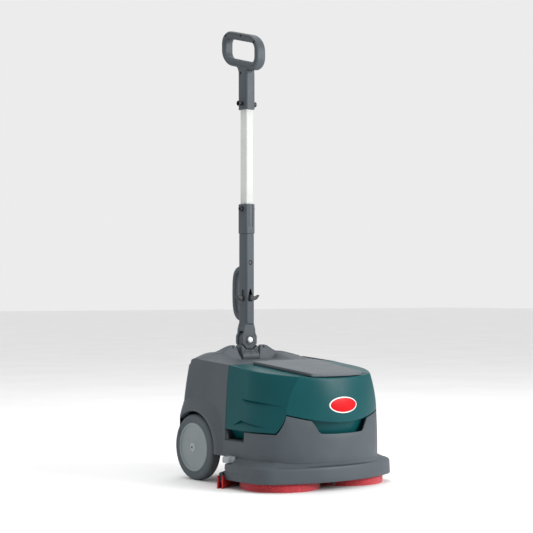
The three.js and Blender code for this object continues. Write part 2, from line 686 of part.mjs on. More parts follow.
function suctionPort() {
  const base = SQUEEGEE.top + 2 + GAP;
  const profile = [
    [12, base], [22, base], [22, base + 4], [16, base + 8], [16, base + 26], [17.5, base + 27],
    [17.5, base + 30], [12, base + 30], [12, base]];
  return turnedZ(profile, 16, 0, BOOT.y);
}

// ---------------------------------------------------------------- knobs
function knob(x) {
  const lobes = new THREE.Shape();
  const steps = 25;
  for (let i = 0; i < steps; i += 1) {
    const angle = (i / steps) * Math.PI * 2;
    const radius = KNOB.radius - 1.6 + 1.6 * Math.cos(5 * angle);
    const [px, py] = [x + radius * Math.cos(angle), KNOB.y + radius * Math.sin(angle)];
    if (i === 0) lobes.moveTo(px, py);
    else lobes.lineTo(px, py);
  }
  return join(upright(lobes, KNOB.bottom, KNOB.top, 1.5), cylinderZ(4, x, KNOB.y, 27, KNOB.bottom + 3, 10));
}

// ---------------------------------------------------------------- mast
function mastSection(grow, radius) {
  return roundedRectangle(MAST.halfX + grow, MAST.halfY + grow, radius, 0, MAST.y);
}

function tubeSection(grow, radius) {
  return roundedRectangle(TUBE.halfX + grow, TUBE.halfY + grow, radius, 0, MAST.y);
}

function mastYoke() {
  const barrel = cylinderX(RECLINE.barrel, -22.5, 22.5, RECLINE.y, RECLINE.z, 24);
  const block = lengthways(polygon([
    [-21.5, RECLINE.z], [21.5, RECLINE.z], [26, 312], [26, 322], [22, 327], [-22, 327], [-26, 322],
    [-26, 312]]), MAST.y - 14, MAST.y + 14);
  const plateRoom = [[200, 257.7], [272.3, 300]].map(([y0, y1]) => (
    cylinderY(TILT.bossRadius + 1.5, y0, y1, 0, TILT.z, 24)));
  const shoulder = cut(block, ...plateRoom);
  const tongue = lengthways(polygon([
    [-20, 300], [20, 300], [20, 345], [12, 357], [-12, 357], [-20, 345]]), 258, 272);
  const pinHole = cylinderX(RECLINE.pinRadius + GAP, -60, 60, RECLINE.y, RECLINE.z);
  const boltHole = cylinderY(TILT.boltRadius + GAP, 230, 300, 0, TILT.z, 16);
  return cut(join(barrel, shoulder, tongue), pinHole, boltHole);
}

function octagon(radius) {
  const points = [];
  for (let i = 0; i < 8; i += 1) {
    const angle = ((i + 0.5) / 8) * Math.PI * 2;
    points.push([radius * Math.cos(angle), TILT.z + radius * Math.sin(angle)]);
  }
  return polygon(points);
}

function mastFork() {
  const bossRadius = TILT.bossRadius;
  const boss = lengthways(octagon(bossRadius), MAST.y - MAST.halfY, MAST.y + MAST.halfY);
  const flare = lengthways(polygon([
    [-17.5, TILT.z], [17.5, TILT.z], [17.5, 366], [MAST.halfX, POST.flareTop + 4],
    [-MAST.halfX, POST.flareTop + 4], [-17.5, 366]]), MAST.y - MAST.halfY, MAST.y + MAST.halfY);
  const slot = box(-30, 30, 257.4, 272.6, 300, 361);
  const boltHole = cylinderY(TILT.boltRadius + GAP, 230, 300, 0, TILT.z, 16);
  return cut(join(boss, flare), slot, boltHole);
}

// The handle for carrying the machine, a D behind the post.
function carryHandle() {
  const { bottom, top, rearY, bar } = CARRY;
  const inside = MAST.y + MAST.halfY - 1;
  const outer = polygon([
    [inside, bottom], [rearY - 12, bottom + 14], [rearY - 2, bottom + 32], [rearY, bottom + 60],
    [rearY, top - 55], [rearY - 2, top - 28], [rearY - 12, top - 11], [inside, top]]);
  const gap = polygon([
    [inside + 1, bottom + 19], [rearY - bar - 6, bottom + 25], [rearY - bar, bottom + 38],
    [rearY - bar, top - 36], [rearY - bar - 6, top - 23], [inside + 1, top - 17]]);
  return cut(sideways(outer, -CARRY.halfX, CARRY.halfX, 3), sideways(gap, -30, 30));
}

function mastPost() {
  const tube = upright(mastSection(0, 5), POST.flareTop, POST.top);
  const upper = upright(tubeSection(0.6, 3), POST.shoulder + 4, 700);
  const lower = upright(tubeSection(0.6, 3), POST.leverBay, POST.shoulder);
  const sideSlots = box(-40, 40, MAST.y - 7, MAST.y + 3, LEVER.slotLow, LEVER.slotHigh);
  const frontOpening = lengthways(polygon([
    [-6, LEVER.slotLow], [6, LEVER.slotLow], [6, 455], [2.5, 467], [-2.5, 467], [-6, 455]]), 230, MAST.y);
  const screwRecess = cylinderY(4.6, 230, MAST.y - MAST.halfY + 1.6, 0, 535, 16);
  const rodHole = cylinderZ(3.6, 0, MAST.y, 350, 400, 12);
  return cut(
    join(tube, mastFork(), carryHandle()), upper, lower, sideSlots, frontOpening, screwRecess, rodHole);
}

function collar() {
  const sleeve = upright(mastSection(COLLAR.grow, 6), COLLAR.bottom, COLLAR.top, 0);
  const hollow = upright(tubeSection(0.6, 3), 600, 700);
  const slits = [-6.5, 5].map((x) => box(x, x + 1.5, 230, MAST.y - 10, 626, 700));
  const boltHole = cylinderX(3.4, -40, 40, MAST.y + 0.5, 672, 12);
  return cut(sleeve, hollow, ...slits, boltHole);
}

function releaseLever() {
  const wing = (side) => sideOf(side, lengthways(polygon([
    [0, 441], [22, 441], [30, 446], [36, 455], [LEVER.reach + 1, 457], [35, 458.5], [28, 452],
    [19, 449], [0, 449]]), MAST.y - 6, MAST.y + 2));
  const rod = cylinderZ(3, 0, MAST.y, 364, 442, 12);
  const thumb = box(-4.6, 4.6, MAST.y - MAST.halfY + 2, MAST.y - 2, 441, 449);
  return join(wing(1), wing(-1), rod, thumb);
}

function sideOf(side, geometry) {
  return side > 0 ? geometry : mirrored(geometry);
}

// A coil spring between the lever and the shoulder inside the post.
function leverSpring() {
  class Coil extends THREE.Curve {
    getPoint(t, target = new THREE.Vector3()) {
      const angle = t * Math.PI * 2 * 5;
      return target.set(5.6 * Math.cos(angle), MAST.y - 2 + 5.6 * Math.sin(angle), 451 + 24 * t);
    }
  }
  const wire = polygon([[0.9, 0], [0, 0.9], [-0.9, 0], [0, -0.9]]);
  return new THREE.ExtrudeGeometry(wire, { steps: 30, extrudePath: new Coil() });
}

function mastTube() {
  const boltHole = cylinderX(3.3, -40, 40, MAST.y, 940, 12);
  return cut(
    upright(tubeSection(0, 3), TUBE.bottom, TUBE.top),
    upright(tubeSection(-TUBE.wall, 2), 500, 1100), boltHole);
}

// ---------------------------------------------------------------- grip
// A rounded rectangle round the grip's centre whose long sides rise towards the operator.
function risingRectangle(halfLength, halfHeight, radius) {
  const flat = roundedRectangle(halfLength, halfHeight, radius).getPoints(4);
  return polygon(flat.map((point) => [GRIP.y + point.x, GRIP.z + point.y + GRIP.rise * point.x]));
}

function gripBody() {
  const outline = risingRectangle(GRIP.halfLength, GRIP.halfHeight, GRIP.corner);
  const loop = sideways(outline, -GRIP.halfX, GRIP.halfX, 6);
  const window = sideways(risingRectangle(WINDOW.halfLength, WINDOW.halfHeight, WINDOW.corner), -40, 40);
  const sleeve = upright(mastSection(SLEEVE.grow, 6), SLEEVE.bottom, SLEEVE.top + 8);
  const rearFillet = sideways(polygon([
    [MAST.y + 10, 990], [MAST.y + 17, 1000], [MAST.y + 20, 1020], [MAST.y + 30, 1036],
    [MAST.y + 46, 1052], [MAST.y + 10, 1052]]), -12, 12);
  const hollow = upright(tubeSection(GAP, 3), 900, TUBE.top + 1);
  const boltHole = cylinderX(3.4, -40, 40, MAST.y, 940, 12);
  return cut(join(loop, sleeve, rearFillet), window, hollow, boltHole);
}

// Bolt through the mast along X: a round socket head on the right, a domed nut on the left.
function crossBolt(y, z, half) {
  const shank = cylinderX(3, -half - 1, half + 3.5, y, z, 12);
  const head = cylinderX(6.5, -half - 7, -half - GAP, y, z, 18);
  const socket = cylinderX(3.3, -half - 8, -half - 3, y, z, 6);
  return cut(join(shank, head), socket);
}

// One of the two short screws that hold the collar to the post, clear of the sliding tube.
function collarScrew(side) {
  const outer = MAST.halfX + COLLAR.grow;
  const shank = cylinderX(3, -outer - 1, -TUBE.halfX - 1, MAST.y + 0.5, 672, 12);
  const head = cylinderX(6.5, -outer - 7, -outer - GAP, MAST.y + 0.5, 672, 18);
  const socket = cylinderX(3.3, -outer - 8, -outer - 3, MAST.y + 0.5, 672, 6);
  const screw = cut(join(shank, head), socket);
  return side < 0 ? screw : mirrored(screw);
}

function domedNut(y, z, half) {
  return turnedX([
    [3 + GAP, half + GAP], [6.2, half + GAP], [6.2, half + 2.5], [4.6, half + 5], [3 + GAP, half + 5],
    [3 + GAP, half + GAP]], 16, y, z);
}

// ---------------------------------------------------------------- small fittings
function pivotBolt() {
  const [front, rear] = [MAST.y - MAST.halfY, MAST.y + MAST.halfY];
  const shank = cylinderY(TILT.boltRadius, front + GAP, rear + 3, 0, TILT.z, 14);
  return join(shank, cylinderY(7, rear + GAP, rear + 5, 0, TILT.z, 6));
}

function pivotCap() {
  const front = MAST.y - MAST.halfY;
  const dome = cylinderY(7.5, front - 3.6, front - GAP, 0, TILT.z, 20);
  const cross = [box(-4, 4, 240, front - 2.6, TILT.z - 0.8, TILT.z + 0.8),
    box(-0.8, 0.8, 240, front - 2.6, TILT.z - 4, TILT.z + 4)];
  return cut(dome, ...cross);
}

function solutionNozzle() {
  const spout = polygon([[-81, 8], [-71, 14], [-70, 31], [-82, 31]]);
  return join(box(-7, 7, -83, -69, 30, 63.5), sideways(spout, -5, 5));
}

function floatBall() {
  return new THREE.SphereGeometry(FLOAT.ball, 12, 8).translate(0, FLOAT.y, FLOAT.floor + FLOAT.ball + GAP);
}

// The cage hangs from the underside of the lid and keeps the ball over the inlet to the vacuum.
function floatCage() {
  const top = roofZ(FLOAT.y - 20) + LID.lift - GAP;
  const { y, bore, floor } = FLOAT;
  const tube = join(
    cylinderZ(bore + 2.6, 0, y, floor - 4, top, 16), cylinderZ(bore + 8, 0, y, top - 4, top, 16));
  const [low, high] = [floor + 10, floor + 36];
  const windows = [box(-30, 30, y - 5, y + 5, low, high), box(-5, 5, y - 30, y + 30, low, high)];
  return cut(tube, cylinderZ(bore, 0, y, floor, 300, 16), ...windows);
}

function chargeSocket() {
  const rear = 301.4;
  const barrel = cylinderY(11, rear - 14, rear + 2.6, 70, 200, 16);
  const flange = cylinderY(14, rear + 0.8, rear + 3.4, 70, 200, 16);
  return cut(join(barrel, flange), cylinderY(8, rear - 8, rear + 10, 70, 200, 16));
}

function powerRocker() {
  const profile = polygon([
    [290.5, 189], [300.5, 189], [305, 195], [302, 200], [300.5, 211], [290.5, 211]]);
  return sideways(profile, -83, -57);
}

// ---------------------------------------------------------------- inner parts
function batteryPack() {
  const { halfX, frontY, rearY, top } = BATTERY_BOX;
  const [halfY, middle] = [(rearY - frontY) / 2, (rearY + frontY) / 2];
  const terminals = [-60, 60].map((x) => cylinderZ(7, x, middle, top - 3, top + 7, 12));
  return join(upright(roundedRectangle(halfX, halfY, 8, 0, middle), FLOOR.top + GAP, top), ...terminals);
}

function vacuumMotor() {
  const base = BATTERY_BOX.top + 10;
  return turnedZ([
    [0, base], [40, base], [40, base + 20], [32, base + 22], [32, base + 42], [24, base + 46],
    [0, base + 46]],
  20, 0, 203);
}

function waterPump() {
  const base = FLOOR.top + GAP;
  return join(
    cylinderX(17, 104, 134, 150, base + 20, 16), box(104, 134, 136, 164, base, base + 12),
    cylinderZ(5, 119, 150, base + 30, base + 46, 10));
}

function controlBoard() {
  const base = FLOOR.top + GAP;
  return join(
    box(-104, -102, 150, 240, base, base + 84), box(-112, -103, 170, 200, base + 24, base + 54),
    box(-116, -103, 215, 230, base + 14, base + 44));
}

// From the floor slab up behind the tank, then forward into the tank's inlet.
function suctionHose() {
  const { y, radius, bore, inletZ } = HOSE;
  const route = [[y + 4, FLOOR.top + GAP], [y + 3, 150], [y, 200], [y - 3, 234], [y - 12, inletZ],
    [TANK.rearY + GAP, inletZ]];
  const path = new THREE.CatmullRomCurve3(route.map(([py, pz]) => new THREE.Vector3(0, py, pz)));
  const ring = oval(radius, radius, 0, 0, 12);
  ring.holes.push(oval(bore, bore, 0, 0, 12));
  return new THREE.ExtrudeGeometry(ring, { steps: 8, extrudePath: path });
}

// The bellows between the squeegee's port and the floor slab.
function suctionBoot() {
  const base = SQUEEGEE.top + 2 + GAP + 30 + GAP;
  const folds = 3;
  const rise = (FLOOR.bottom - GAP - base) / (2 * folds);
  const profile = [[BOOT.radius - 7, base], [BOOT.radius - 3, base]];
  for (let i = 0; i < folds; i += 1) {
    profile.push([BOOT.radius, base + rise * (2 * i + 1)], [BOOT.radius - 3, base + rise * (2 * i + 2)]);
  }
  profile.push([BOOT.radius - 7, FLOOR.bottom - GAP], [BOOT.radius - 7, base]);
  return turnedZ(profile, 16, 0, BOOT.y);
}

// ---------------------------------------------------------------- assembly
part('brush_deck', brushDeck(), GREY);
part('chassis_shell', chassisShell(), GREY);
part('rear_cover', rearCover(), GREY);
part('mast_bracket', mastBracket(), STEEL);
part('recline_pin', cylinderX(RECLINE.pinRadius, -40, 40, RECLINE.y, RECLINE.z, 20), STEEL);
pair('brush_motor', brushMotor(-PAD.spacing / 2), DARK_GREY);
pair('pad_holder', padHolder(-PAD.spacing / 2), BLACK);
pair('scrub_pad', padDisc(-PAD.spacing / 2), RED_FIBRE);
part('battery_pack', batteryPack(), BATTERY);
part('vacuum_motor', vacuumMotor(), STEEL);
part('water_pump', waterPump(), BLACK);
part('control_board', controlBoard(), BOARD_GREEN);
part('wheel_axle', cylinderX(AXLE_RADIUS, -182, 182, WHEEL.y, WHEEL.radius, 24), STEEL);
pair('tyre', tyre(), TYRE);
pair('wheel_hub', hub(), HUB);
pair('axle_cap', axleCap(), LIGHT_GREY);
pair('squeegee_knob', knob(-KNOB.x), LIGHT_GREY);
part('squeegee_holder', squeegeeHolder(), DARK_GREY);
part('squeegee_blade_front', squeegeeBand(
  -SQUEEGEE.webHalf - GAP - SQUEEGEE.bladeThickness, -SQUEEGEE.webHalf - GAP,
  0, SQUEEGEE.bladeHeight), RED_RUBBER);
part('squeegee_blade_rear', squeegeeBand(
  SQUEEGEE.webHalf + GAP, SQUEEGEE.webHalf + GAP + SQUEEGEE.bladeThickness,
  0, SQUEEGEE.bladeHeight), RED_RUBBER);
part('suction_port', suctionPort(), DARK_GREY);
part('tank_shell', tankShell(), TEAL);
part('recovery_tub', recoveryTub(), DARK_GREY);
part('lid', lid(), LIGHT_GREY);
part('lid_hinge_pin', cylinderX(HINGE.radius, -96, 96, HINGE.y, hingeZ(), 12), STEEL);
part('front_badge', badge(), BADGE);
part('mast_yoke', mastYoke(), GREY);
part('mast_post', mastPost(), GREY);
part('mast_collar', collar(), GREY);
part('release_lever', releaseLever(), DARK_GREY);
part('lever_spring', leverSpring(), STEEL);
part('mast_tube', mastTube(), TUBE_WHITE);
part('pivot_bolt', pivotBolt(), STEEL);
part('pivot_cap', pivotCap(), WHITE);
part('collar_screw_right', collarScrew(-1), BLACK);
part('collar_screw_left', collarScrew(1), BLACK);
part('grip_bolt', crossBolt(MAST.y, 940, MAST.halfX + SLEEVE.grow), BLACK);
part('grip_nut', domedNut(MAST.y, 940, MAST.halfX + SLEEVE.grow), BLACK);
part('post_screw', cylinderY(4, 249.2, 250, 0, 535, 16), BLACK);
part('solution_nozzle', solutionNozzle(), BLACK);
part('float_cage', floatCage(), WHITE);
part('float_ball', floatBall(), WHITE);
part('suction_hose', suctionHose(), BLACK);
part('suction_boot', suctionBoot(), BLACK);
part('charge_socket', chargeSocket(), BLACK);
part('power_rocker', powerRocker(), BLACK);
const grip = gripBody();
part('grip_half_right', common(grip, box(-60, -GAP / 2, 100, 450, 900, 1200)), GREY);
part('grip_half_left', common(grip, box(GAP / 2, 60, 100, 450, 900, 1200)), GREY);

// The origin goes to the middle of the footprint, on the floor.
const bounds = new THREE.Box3().setFromObject(scrubber);
scrubber.position.set(0, -(bounds.min.y + bounds.max.y) / 2, -bounds.min.z);

export default scrubber;
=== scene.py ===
"""Looks for the floor scrubber machine: finely shaped pieces and procedural materials on its frame."""
import json
import math

import bmesh
import bpy
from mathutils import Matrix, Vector


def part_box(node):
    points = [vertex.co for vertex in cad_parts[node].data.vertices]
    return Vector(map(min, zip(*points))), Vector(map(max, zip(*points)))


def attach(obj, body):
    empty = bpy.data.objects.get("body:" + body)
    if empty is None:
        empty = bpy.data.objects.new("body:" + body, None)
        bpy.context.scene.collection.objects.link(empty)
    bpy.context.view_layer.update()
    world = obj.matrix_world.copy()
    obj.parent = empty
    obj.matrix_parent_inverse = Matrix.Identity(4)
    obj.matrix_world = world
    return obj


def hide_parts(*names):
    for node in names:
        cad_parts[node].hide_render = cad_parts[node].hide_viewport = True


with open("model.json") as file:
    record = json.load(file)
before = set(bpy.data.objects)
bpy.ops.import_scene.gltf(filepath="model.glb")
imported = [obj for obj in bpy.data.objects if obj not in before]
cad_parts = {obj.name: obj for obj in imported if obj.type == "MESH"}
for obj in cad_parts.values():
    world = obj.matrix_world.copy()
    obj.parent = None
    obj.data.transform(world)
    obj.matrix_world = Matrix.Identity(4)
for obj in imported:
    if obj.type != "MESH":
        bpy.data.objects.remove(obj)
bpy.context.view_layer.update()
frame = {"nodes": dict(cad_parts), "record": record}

MM = 0.001
PAD_LOW, PAD_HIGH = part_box("scrub_pad_right")
# Shapes below are in millimetres and measure Y from the line through the pads' axes.
PAD_LINE_Y = (PAD_LOW.y + PAD_HIGH.y) / 2


# ---- mesh making
def place(x, y, z):
    return (x * MM, y * MM + PAD_LINE_Y, z * MM)


def new_object(name, points, faces, angle=35):
    mesh = bpy.data.meshes.new(name)
    mesh.from_pydata([place(*point) for point in points], [], faces)
    mesh.update()
    piece = bpy.data.objects.new(name, mesh)
    bpy.context.scene.collection.objects.link(piece)
    tidy(piece, angle)
    return piece


def tidy(piece, angle=35):
    """Faces outwards, doubles merged, and shading smooth up to an angle."""
    work = bmesh.new()
    work.from_mesh(piece.data)
    bmesh.ops.remove_doubles(work, verts=work.verts, dist=1e-6)
    bmesh.ops.dissolve_degenerate(work, edges=work.edges, dist=1e-7)
    bmesh.ops.recalc_face_normals(work, faces=work.faces)
    limit = math.radians(angle)
    for edge in work.edges:
        edge.smooth = len(edge.link_faces) == 2 and edge.calc_face_angle(0) < limit
    for face in work.faces:
        face.smooth = True
    work.to_mesh(piece.data)
    work.free()


def drop(piece):
    mesh = piece.data
    bpy.data.objects.remove(piece)
    bpy.data.meshes.remove(mesh)


def settle(piece, angle=35):
    """Modifiers made permanent."""
    graph = bpy.context.evaluated_depsgraph_get()
    mesh = bpy.data.meshes.new_from_object(piece.evaluated_get(graph))
    old = piece.data
    piece.modifiers.clear()
    piece.data = mesh
    bpy.data.meshes.remove(old)
    tidy(piece, angle)
    return piece


def combine(piece, tools, operation, angle=35):
    for tool in tools:
        step = piece.modifiers.new("combine", "BOOLEAN")
        step.operation = operation
        step.object = tool
        step.solver = "MANIFOLD"
    settle(piece, angle)
    for tool in tools:
        drop(tool)
    return piece


def cut(piece, *tools, angle=35):
    return combine(piece, tools, "DIFFERENCE", angle)


def join(piece, *tools, angle=35):
    return combine(piece, tools, "UNION", angle)


def grid_faces(rows, count, closed_rows=False, closed_ring=True):
    """Quads over rows of points, each row holding the same count of points."""
    faces = []
    last = rows if closed_rows else rows - 1
    span = count if closed_ring else count - 1
    for row in range(last):
        for i in range(span):
            a, b = row * count + i, row * count + (i + 1) % count
            c, d = ((row + 1) % rows) * count + (i + 1) % count, ((row + 1) % rows) * count + i
            faces.append((a, b, c, d))
    return faces


def stack(name, rings, angle=35):
    """A closed solid over a stack of rings with flat ends."""
    count = len(rings[0])
    points = [point for ring in rings for point in ring]
    faces = grid_faces(len(rings), count)
    faces.append(tuple(reversed(range(count))))
    faces.append(tuple(range((len(rings) - 1) * count, len(rings) * count)))
    return new_object(name, points, faces, angle)


def hoop(name, sections, angle=35):
    """A closed solid whose closed sections follow each other round a loop."""
    count = len(sections[0])
    points = [point for section in sections for point in section]
    return new_object(name, points, grid_faces(len(sections), count, closed_rows=True), angle)


def lathe(name, profile, centre, axis="Z", sides=96, angle=35):
    """A closed profile of (radius, along) points turned about an axis through the centre."""
    points, faces = [], []
    count = len(profile)
    for step in range(sides):
        turn = 2 * math.pi * step / sides
        c, s = math.cos(turn), math.sin(turn)
        for radius, along in profile:
            u, v = radius * c, radius * s
            local = {"X": (along, u, v), "Y": (u, along, v), "Z": (u, v, along)}[axis]
            points.append(tuple(a + b for a, b in zip(centre, local)))
    for step in range(sides):
        following = (step + 1) % sides
        for i in range(count):
            j = (i + 1) % count
            if profile[i][0] == 0 and profile[j][0] == 0:
                continue
            faces.append((step * count + i, step * count + j, following * count + j, following * count + i))
    return new_object(name, points, faces, angle)


def rounded(corners, steps=4):
    """An outline through (x, y, radius) corners, each corner rounded by its radius."""
    outline = []
    count = len(corners)
    for i, (x, y, radius) in enumerate(corners):
        corner = Vector((x, y))
        before = Vector(corners[i - 1][:2]) - corner
        after = Vector(corners[(i + 1) % count][:2]) - corner
        if radius <= 0:
            outline.append((x, y))
            continue
        half = before.angle(after) / 2
        reach = min(radius / math.tan(half), before.length * 0.49, after.length * 0.49)
        start, end = corner + before.normalized() * reach, corner + after.normalized() * reach
        for k in range(steps + 1):
            t = k / steps
            point = start * (1 - t) ** 2 + corner * (2 * t * (1 - t)) + end * t ** 2
            outline.append((point.x, point.y))
    return outline


def both_sides(right):
    """A symmetric outline from its right half; the first corner is the right end of the bottom edge."""
    flipped = [(-x, y, radius) for x, y, radius in right]
    return [flipped[0]] + right + flipped[:0:-1]


def inset_outline(outline, amount):
    """The outline moved inwards; it runs anticlockwise."""
    count = len(outline)
    moved = []
    for i in range(count):
        here = Vector(outline[i])
        before = (here - Vector(outline[i - 1])).normalized()
        after = (Vector(outline[(i + 1) % count]) - here).normalized()
        bend = (before + after)
        bend = bend.normalized() if bend.length > 1e-6 else after
        normal = Vector((-bend.y, bend.x))
        stretch = max(0.5, bend.dot(after))
        moved.append(tuple(here + normal * (amount / stretch)))
    return moved


def anticlockwise(outline):
    area = sum(a[0] * b[1] - b[0] * a[1] for a, b in zip(outline, outline[1:] + outline[:1]))
    return outline if area > 0 else outline[::-1]


def slab(name, outline, low, high, axis="Z", edge=0.0, rounds=3, angle=35):
    """An outline drawn out along an axis, with rounded end edges."""
    outline = anticlockwise(list(outline))
    levels = [(low, 0.0), (high, 0.0)]
    if edge > 0:
        arc = [(edge * (1 - math.sin(t)), edge * (1 - math.cos(t)))
               for t in [math.pi / 2 * k / rounds for k in range(rounds + 1)]]
        levels = [(low + rise, inset) for inset, rise in arc]
        levels += [(high - rise, inset) for inset, rise in reversed(arc)]
    rings = []
    for level, inset in levels:
        ring = inset_outline(outline, inset) if inset > 1e-6 else outline
        rings.append([{"X": (level, a, b), "Y": (a, level, b), "Z": (a, b, level)}[axis] for a, b in ring])
    return stack(name, rings, angle)


def spline(knots, where):
    """A point on a smooth curve through the knots; where counts knots along it."""
    i = min(int(where), len(knots) - 2)
    t = where - i
    p0, p1, p2, p3 = knots[max(i - 1, 0)], knots[i], knots[i + 1], knots[min(i + 2, len(knots) - 1)]
    v0, v1 = (p2 - p0) / 2, (p3 - p1) / 2
    cubic = 2 * p1 - 2 * p2 + v0 + v1
    square = -3 * p1 + 3 * p2 - 2 * v0 - v1
    return cubic * t ** 3 + square * t ** 2 + v0 * t + p1


def flank(side, near, far):
    """Two distances from the middle plane as ordered X places on one side."""
    return sorted((side * near, side * far))


# ---- body outline
SEAM_Z, RIM_Z = 175.0, 267.0
TANK_REAR = 112.0
WHEEL_Y, WHEEL_Z, ARCH = 237.6, 80.3, 88.0


def smooth_step(value, low, high):
    t = min(1.0, max(0.0, (value - low) / (high - low)))
    return t * t * (3 - 2 * t)


def body_at(z):
    """The plan's key sizes at a height: walls bow inwards above the seam and flare a little below it."""
    rise = max(0.0, z - SEAM_Z) / (RIM_Z - SEAM_Z)
    lean = rise ** 1.8
    flare = max(0.0, SEAM_Z - z) / SEAM_Z
    return {
        "front": -117 + 12 * lean - 4 * flare,
        "corner_x": 138 - 31 * lean + 24 * flare,
        "corner_y": -75 - 12 * lean - 3 * flare,
        "side": 173 - 6 * lean + 12 * flare,
        "rear": 303 - 12 * rise - 6 * flare,
        "soft": 2 if z > SEAM_Z else 2 + 90 * flare,
    }


def front_radius(at):
    """Radius of the front wall's plan at a height."""
    drop_y = at["corner_y"] - at["front"]
    return (at["corner_x"] ** 2 + drop_y ** 2) / (2 * drop_y)


def bezier(a, b, c, t):
    return Vector(a) * (1 - t) ** 2 + Vector(b) * (2 * t * (1 - t)) + Vector(c) * t ** 2


FRONT_STEPS, CORNER_STEPS, SIDE_STEPS = 22, 12, 14
POCKET_START, POCKET_END = 36.0, 110.6
LONG_SIDE = (
    [31, 33, POCKET_START - 0.2, POCKET_START + 0.2, 39, 42, 46, 50, 58, 66, 74, 82, 90, 98, 104, 108]
    + [POCKET_END - 0.2, POCKET_END + 0.2, 112.0, 112.8, 113.2, 118, 126, 134, 142, 147, 149.2, 149.7,
       150.2, 151.2]
    + [152.6, 154.5, 157, 160, 164, 169, 175, 182, 190, 199, 208, 218, 228, 238, 247, 255, 262, 268, 273,
       278, 283, 287])
REAR_ROUND = 12.0
REAR_XS = [155, 152, 150, 148, 144, 130, 110, 90, 70, 50, 31, 30, 29, 15, 0]


def body_half(z, inset=0.0):
    """Half of the plan at one height as (x, y), from the front's middle to the back's middle."""
    at = body_at(z)
    radius = front_radius(at)
    corner, side = (at["corner_x"], at["corner_y"]), (at["side"], 30.0)
    bulge = (at["side"] - 1, -25.0)
    reach = at["corner_x"] - at["soft"] * 0.85
    points = []
    for i in range(FRONT_STEPS + 1):
        x = reach * i / FRONT_STEPS
        points.append(Vector((x, at["front"] + radius - math.sqrt(radius ** 2 - x ** 2))))
    front_end = points[-1]
    start_t = at["soft"] / 120
    side_end = bezier(corner, bulge, side, start_t)
    points += [bezier(front_end, corner, side_end, k / CORNER_STEPS) for k in range(1, CORNER_STEPS + 1)]
    points += [bezier(corner, bulge, side, start_t + (1 - start_t) * k / SIDE_STEPS)
               for k in range(1, SIDE_STEPS + 1)]
    corner_y = at["rear"] - REAR_ROUND
    points += [Vector((at["side"], y)) for y in LONG_SIDE if y < corner_y - 1]
    beyond = sum(y >= corner_y - 1 for y in LONG_SIDE)
    points += [Vector((at["side"], corner_y - 1))] * beyond
    points += [Vector((at["side"] - REAR_ROUND * (1 - math.cos(a)), corner_y + REAR_ROUND * math.sin(a)))
               for a in [math.pi / 2 * k / 8 for k in range(0, 9)]]
    points += [Vector((x, at["rear"])) for x in REAR_XS]
    if inset:
        points = inset_half(points, inset)
    return points


def inset_half(points, amount):
    moved = []
    for i, here in enumerate(points):
        before = points[i - 1] if i else Vector((-points[1].x, points[1].y))
        after = points[i + 1] if i + 1 < len(points) else Vector((-points[-2].x, points[-2].y))
        along = after - before
        normal = Vector((-along.y, along.x))
        normal = normal.normalized() if normal.length > 1e-6 else Vector((-1, 0))
        moved.append(here + normal * amount)
    moved[0].x = moved[-1].x = 0.0
    return moved


def whole(half):
    """Both halves as one ring, anticlockwise from above."""
    return [(p.x, p.y) for p in half] + [(-p.x, p.y) for p in reversed(half[1:-1])]


def roof_z(y):
    return 262 + 0.11 * (y + 105)


def seam_z(x, y):
    """Top of the grey lower wall where it meets the tank, without the hand recesses."""
    side = 131 + (SEAM_Z - 131) * min(1.0, max(0.0, (-73.6 - y) / 1.3))
    front = 154 + 21 * (x / 138) ** 2
    return min(side, front)


# ---- materials
def shader(name, color, roughness, metallic=0.0, coat=0.0, sheen=0.0, specular=0.5):
    made = bpy.data.materials.new(name)
    made.use_nodes = True
    made.diffuse_color = (*color, 1)
    surface = made.node_tree.nodes["Principled BSDF"]
    surface.inputs["Base Color"].default_value = (*color, 1)
    surface.inputs["Roughness"].default_value = roughness
    surface.inputs["Metallic"].default_value = metallic
    surface.inputs["Coat Weight"].default_value = coat
    surface.inputs["Coat Roughness"].default_value = 0.2
    surface.inputs["Sheen Weight"].default_value = sheen
    surface.inputs["Specular IOR Level"].default_value = specular
    return made, made.node_tree, surface


def noise(tree, scale, detail=3.0, stretch=(1, 1, 1), roughness=0.5):
    where = tree.nodes.new("ShaderNodeTexCoord")
    turned = tree.nodes.new("ShaderNodeMapping")
    turned.inputs["Scale"].default_value = stretch
    tree.links.new(where.outputs["Object"], turned.inputs["Vector"])
    texture = tree.nodes.new("ShaderNodeTexNoise")
    texture.inputs["Scale"].default_value = scale
    texture.inputs["Detail"].default_value = detail
    texture.inputs["Roughness"].default_value = roughness
    tree.links.new(turned.outputs["Vector"], texture.inputs["Vector"])
    return texture.outputs["Fac"]


def ramp(tree, factor, stops):
    node = tree.nodes.new("ShaderNodeValToRGB")
    elements = node.color_ramp.elements
    while len(elements) < len(stops):
        elements.new(0.5)
    for element, (position, color) in zip(elements, stops):
        element.position = position
        element.color = (*color, 1)
    tree.links.new(factor, node.inputs["Fac"])
    return node.outputs["Color"]


def spread(tree, factor, low, high):
    node = tree.nodes.new("ShaderNodeMapRange")
    node.inputs["To Min"].default_value = low
    node.inputs["To Max"].default_value = high
    tree.links.new(factor, node.inputs["Value"])
    return node.outputs["Result"]


def bump(tree, surface, height, strength, distance, before=None):
    node = tree.nodes.new("ShaderNodeBump")
    node.inputs["Strength"].default_value = strength
    node.inputs["Distance"].default_value = distance
    tree.links.new(height, node.inputs["Height"])
    if before is not None:
        tree.links.new(before, node.inputs["Normal"])
    tree.links.new(node.outputs["Normal"], surface.inputs["Normal"])
    return node.outputs["Normal"]


def tone(color, factor):
    return tuple(min(1.0, c * factor) for c in color)


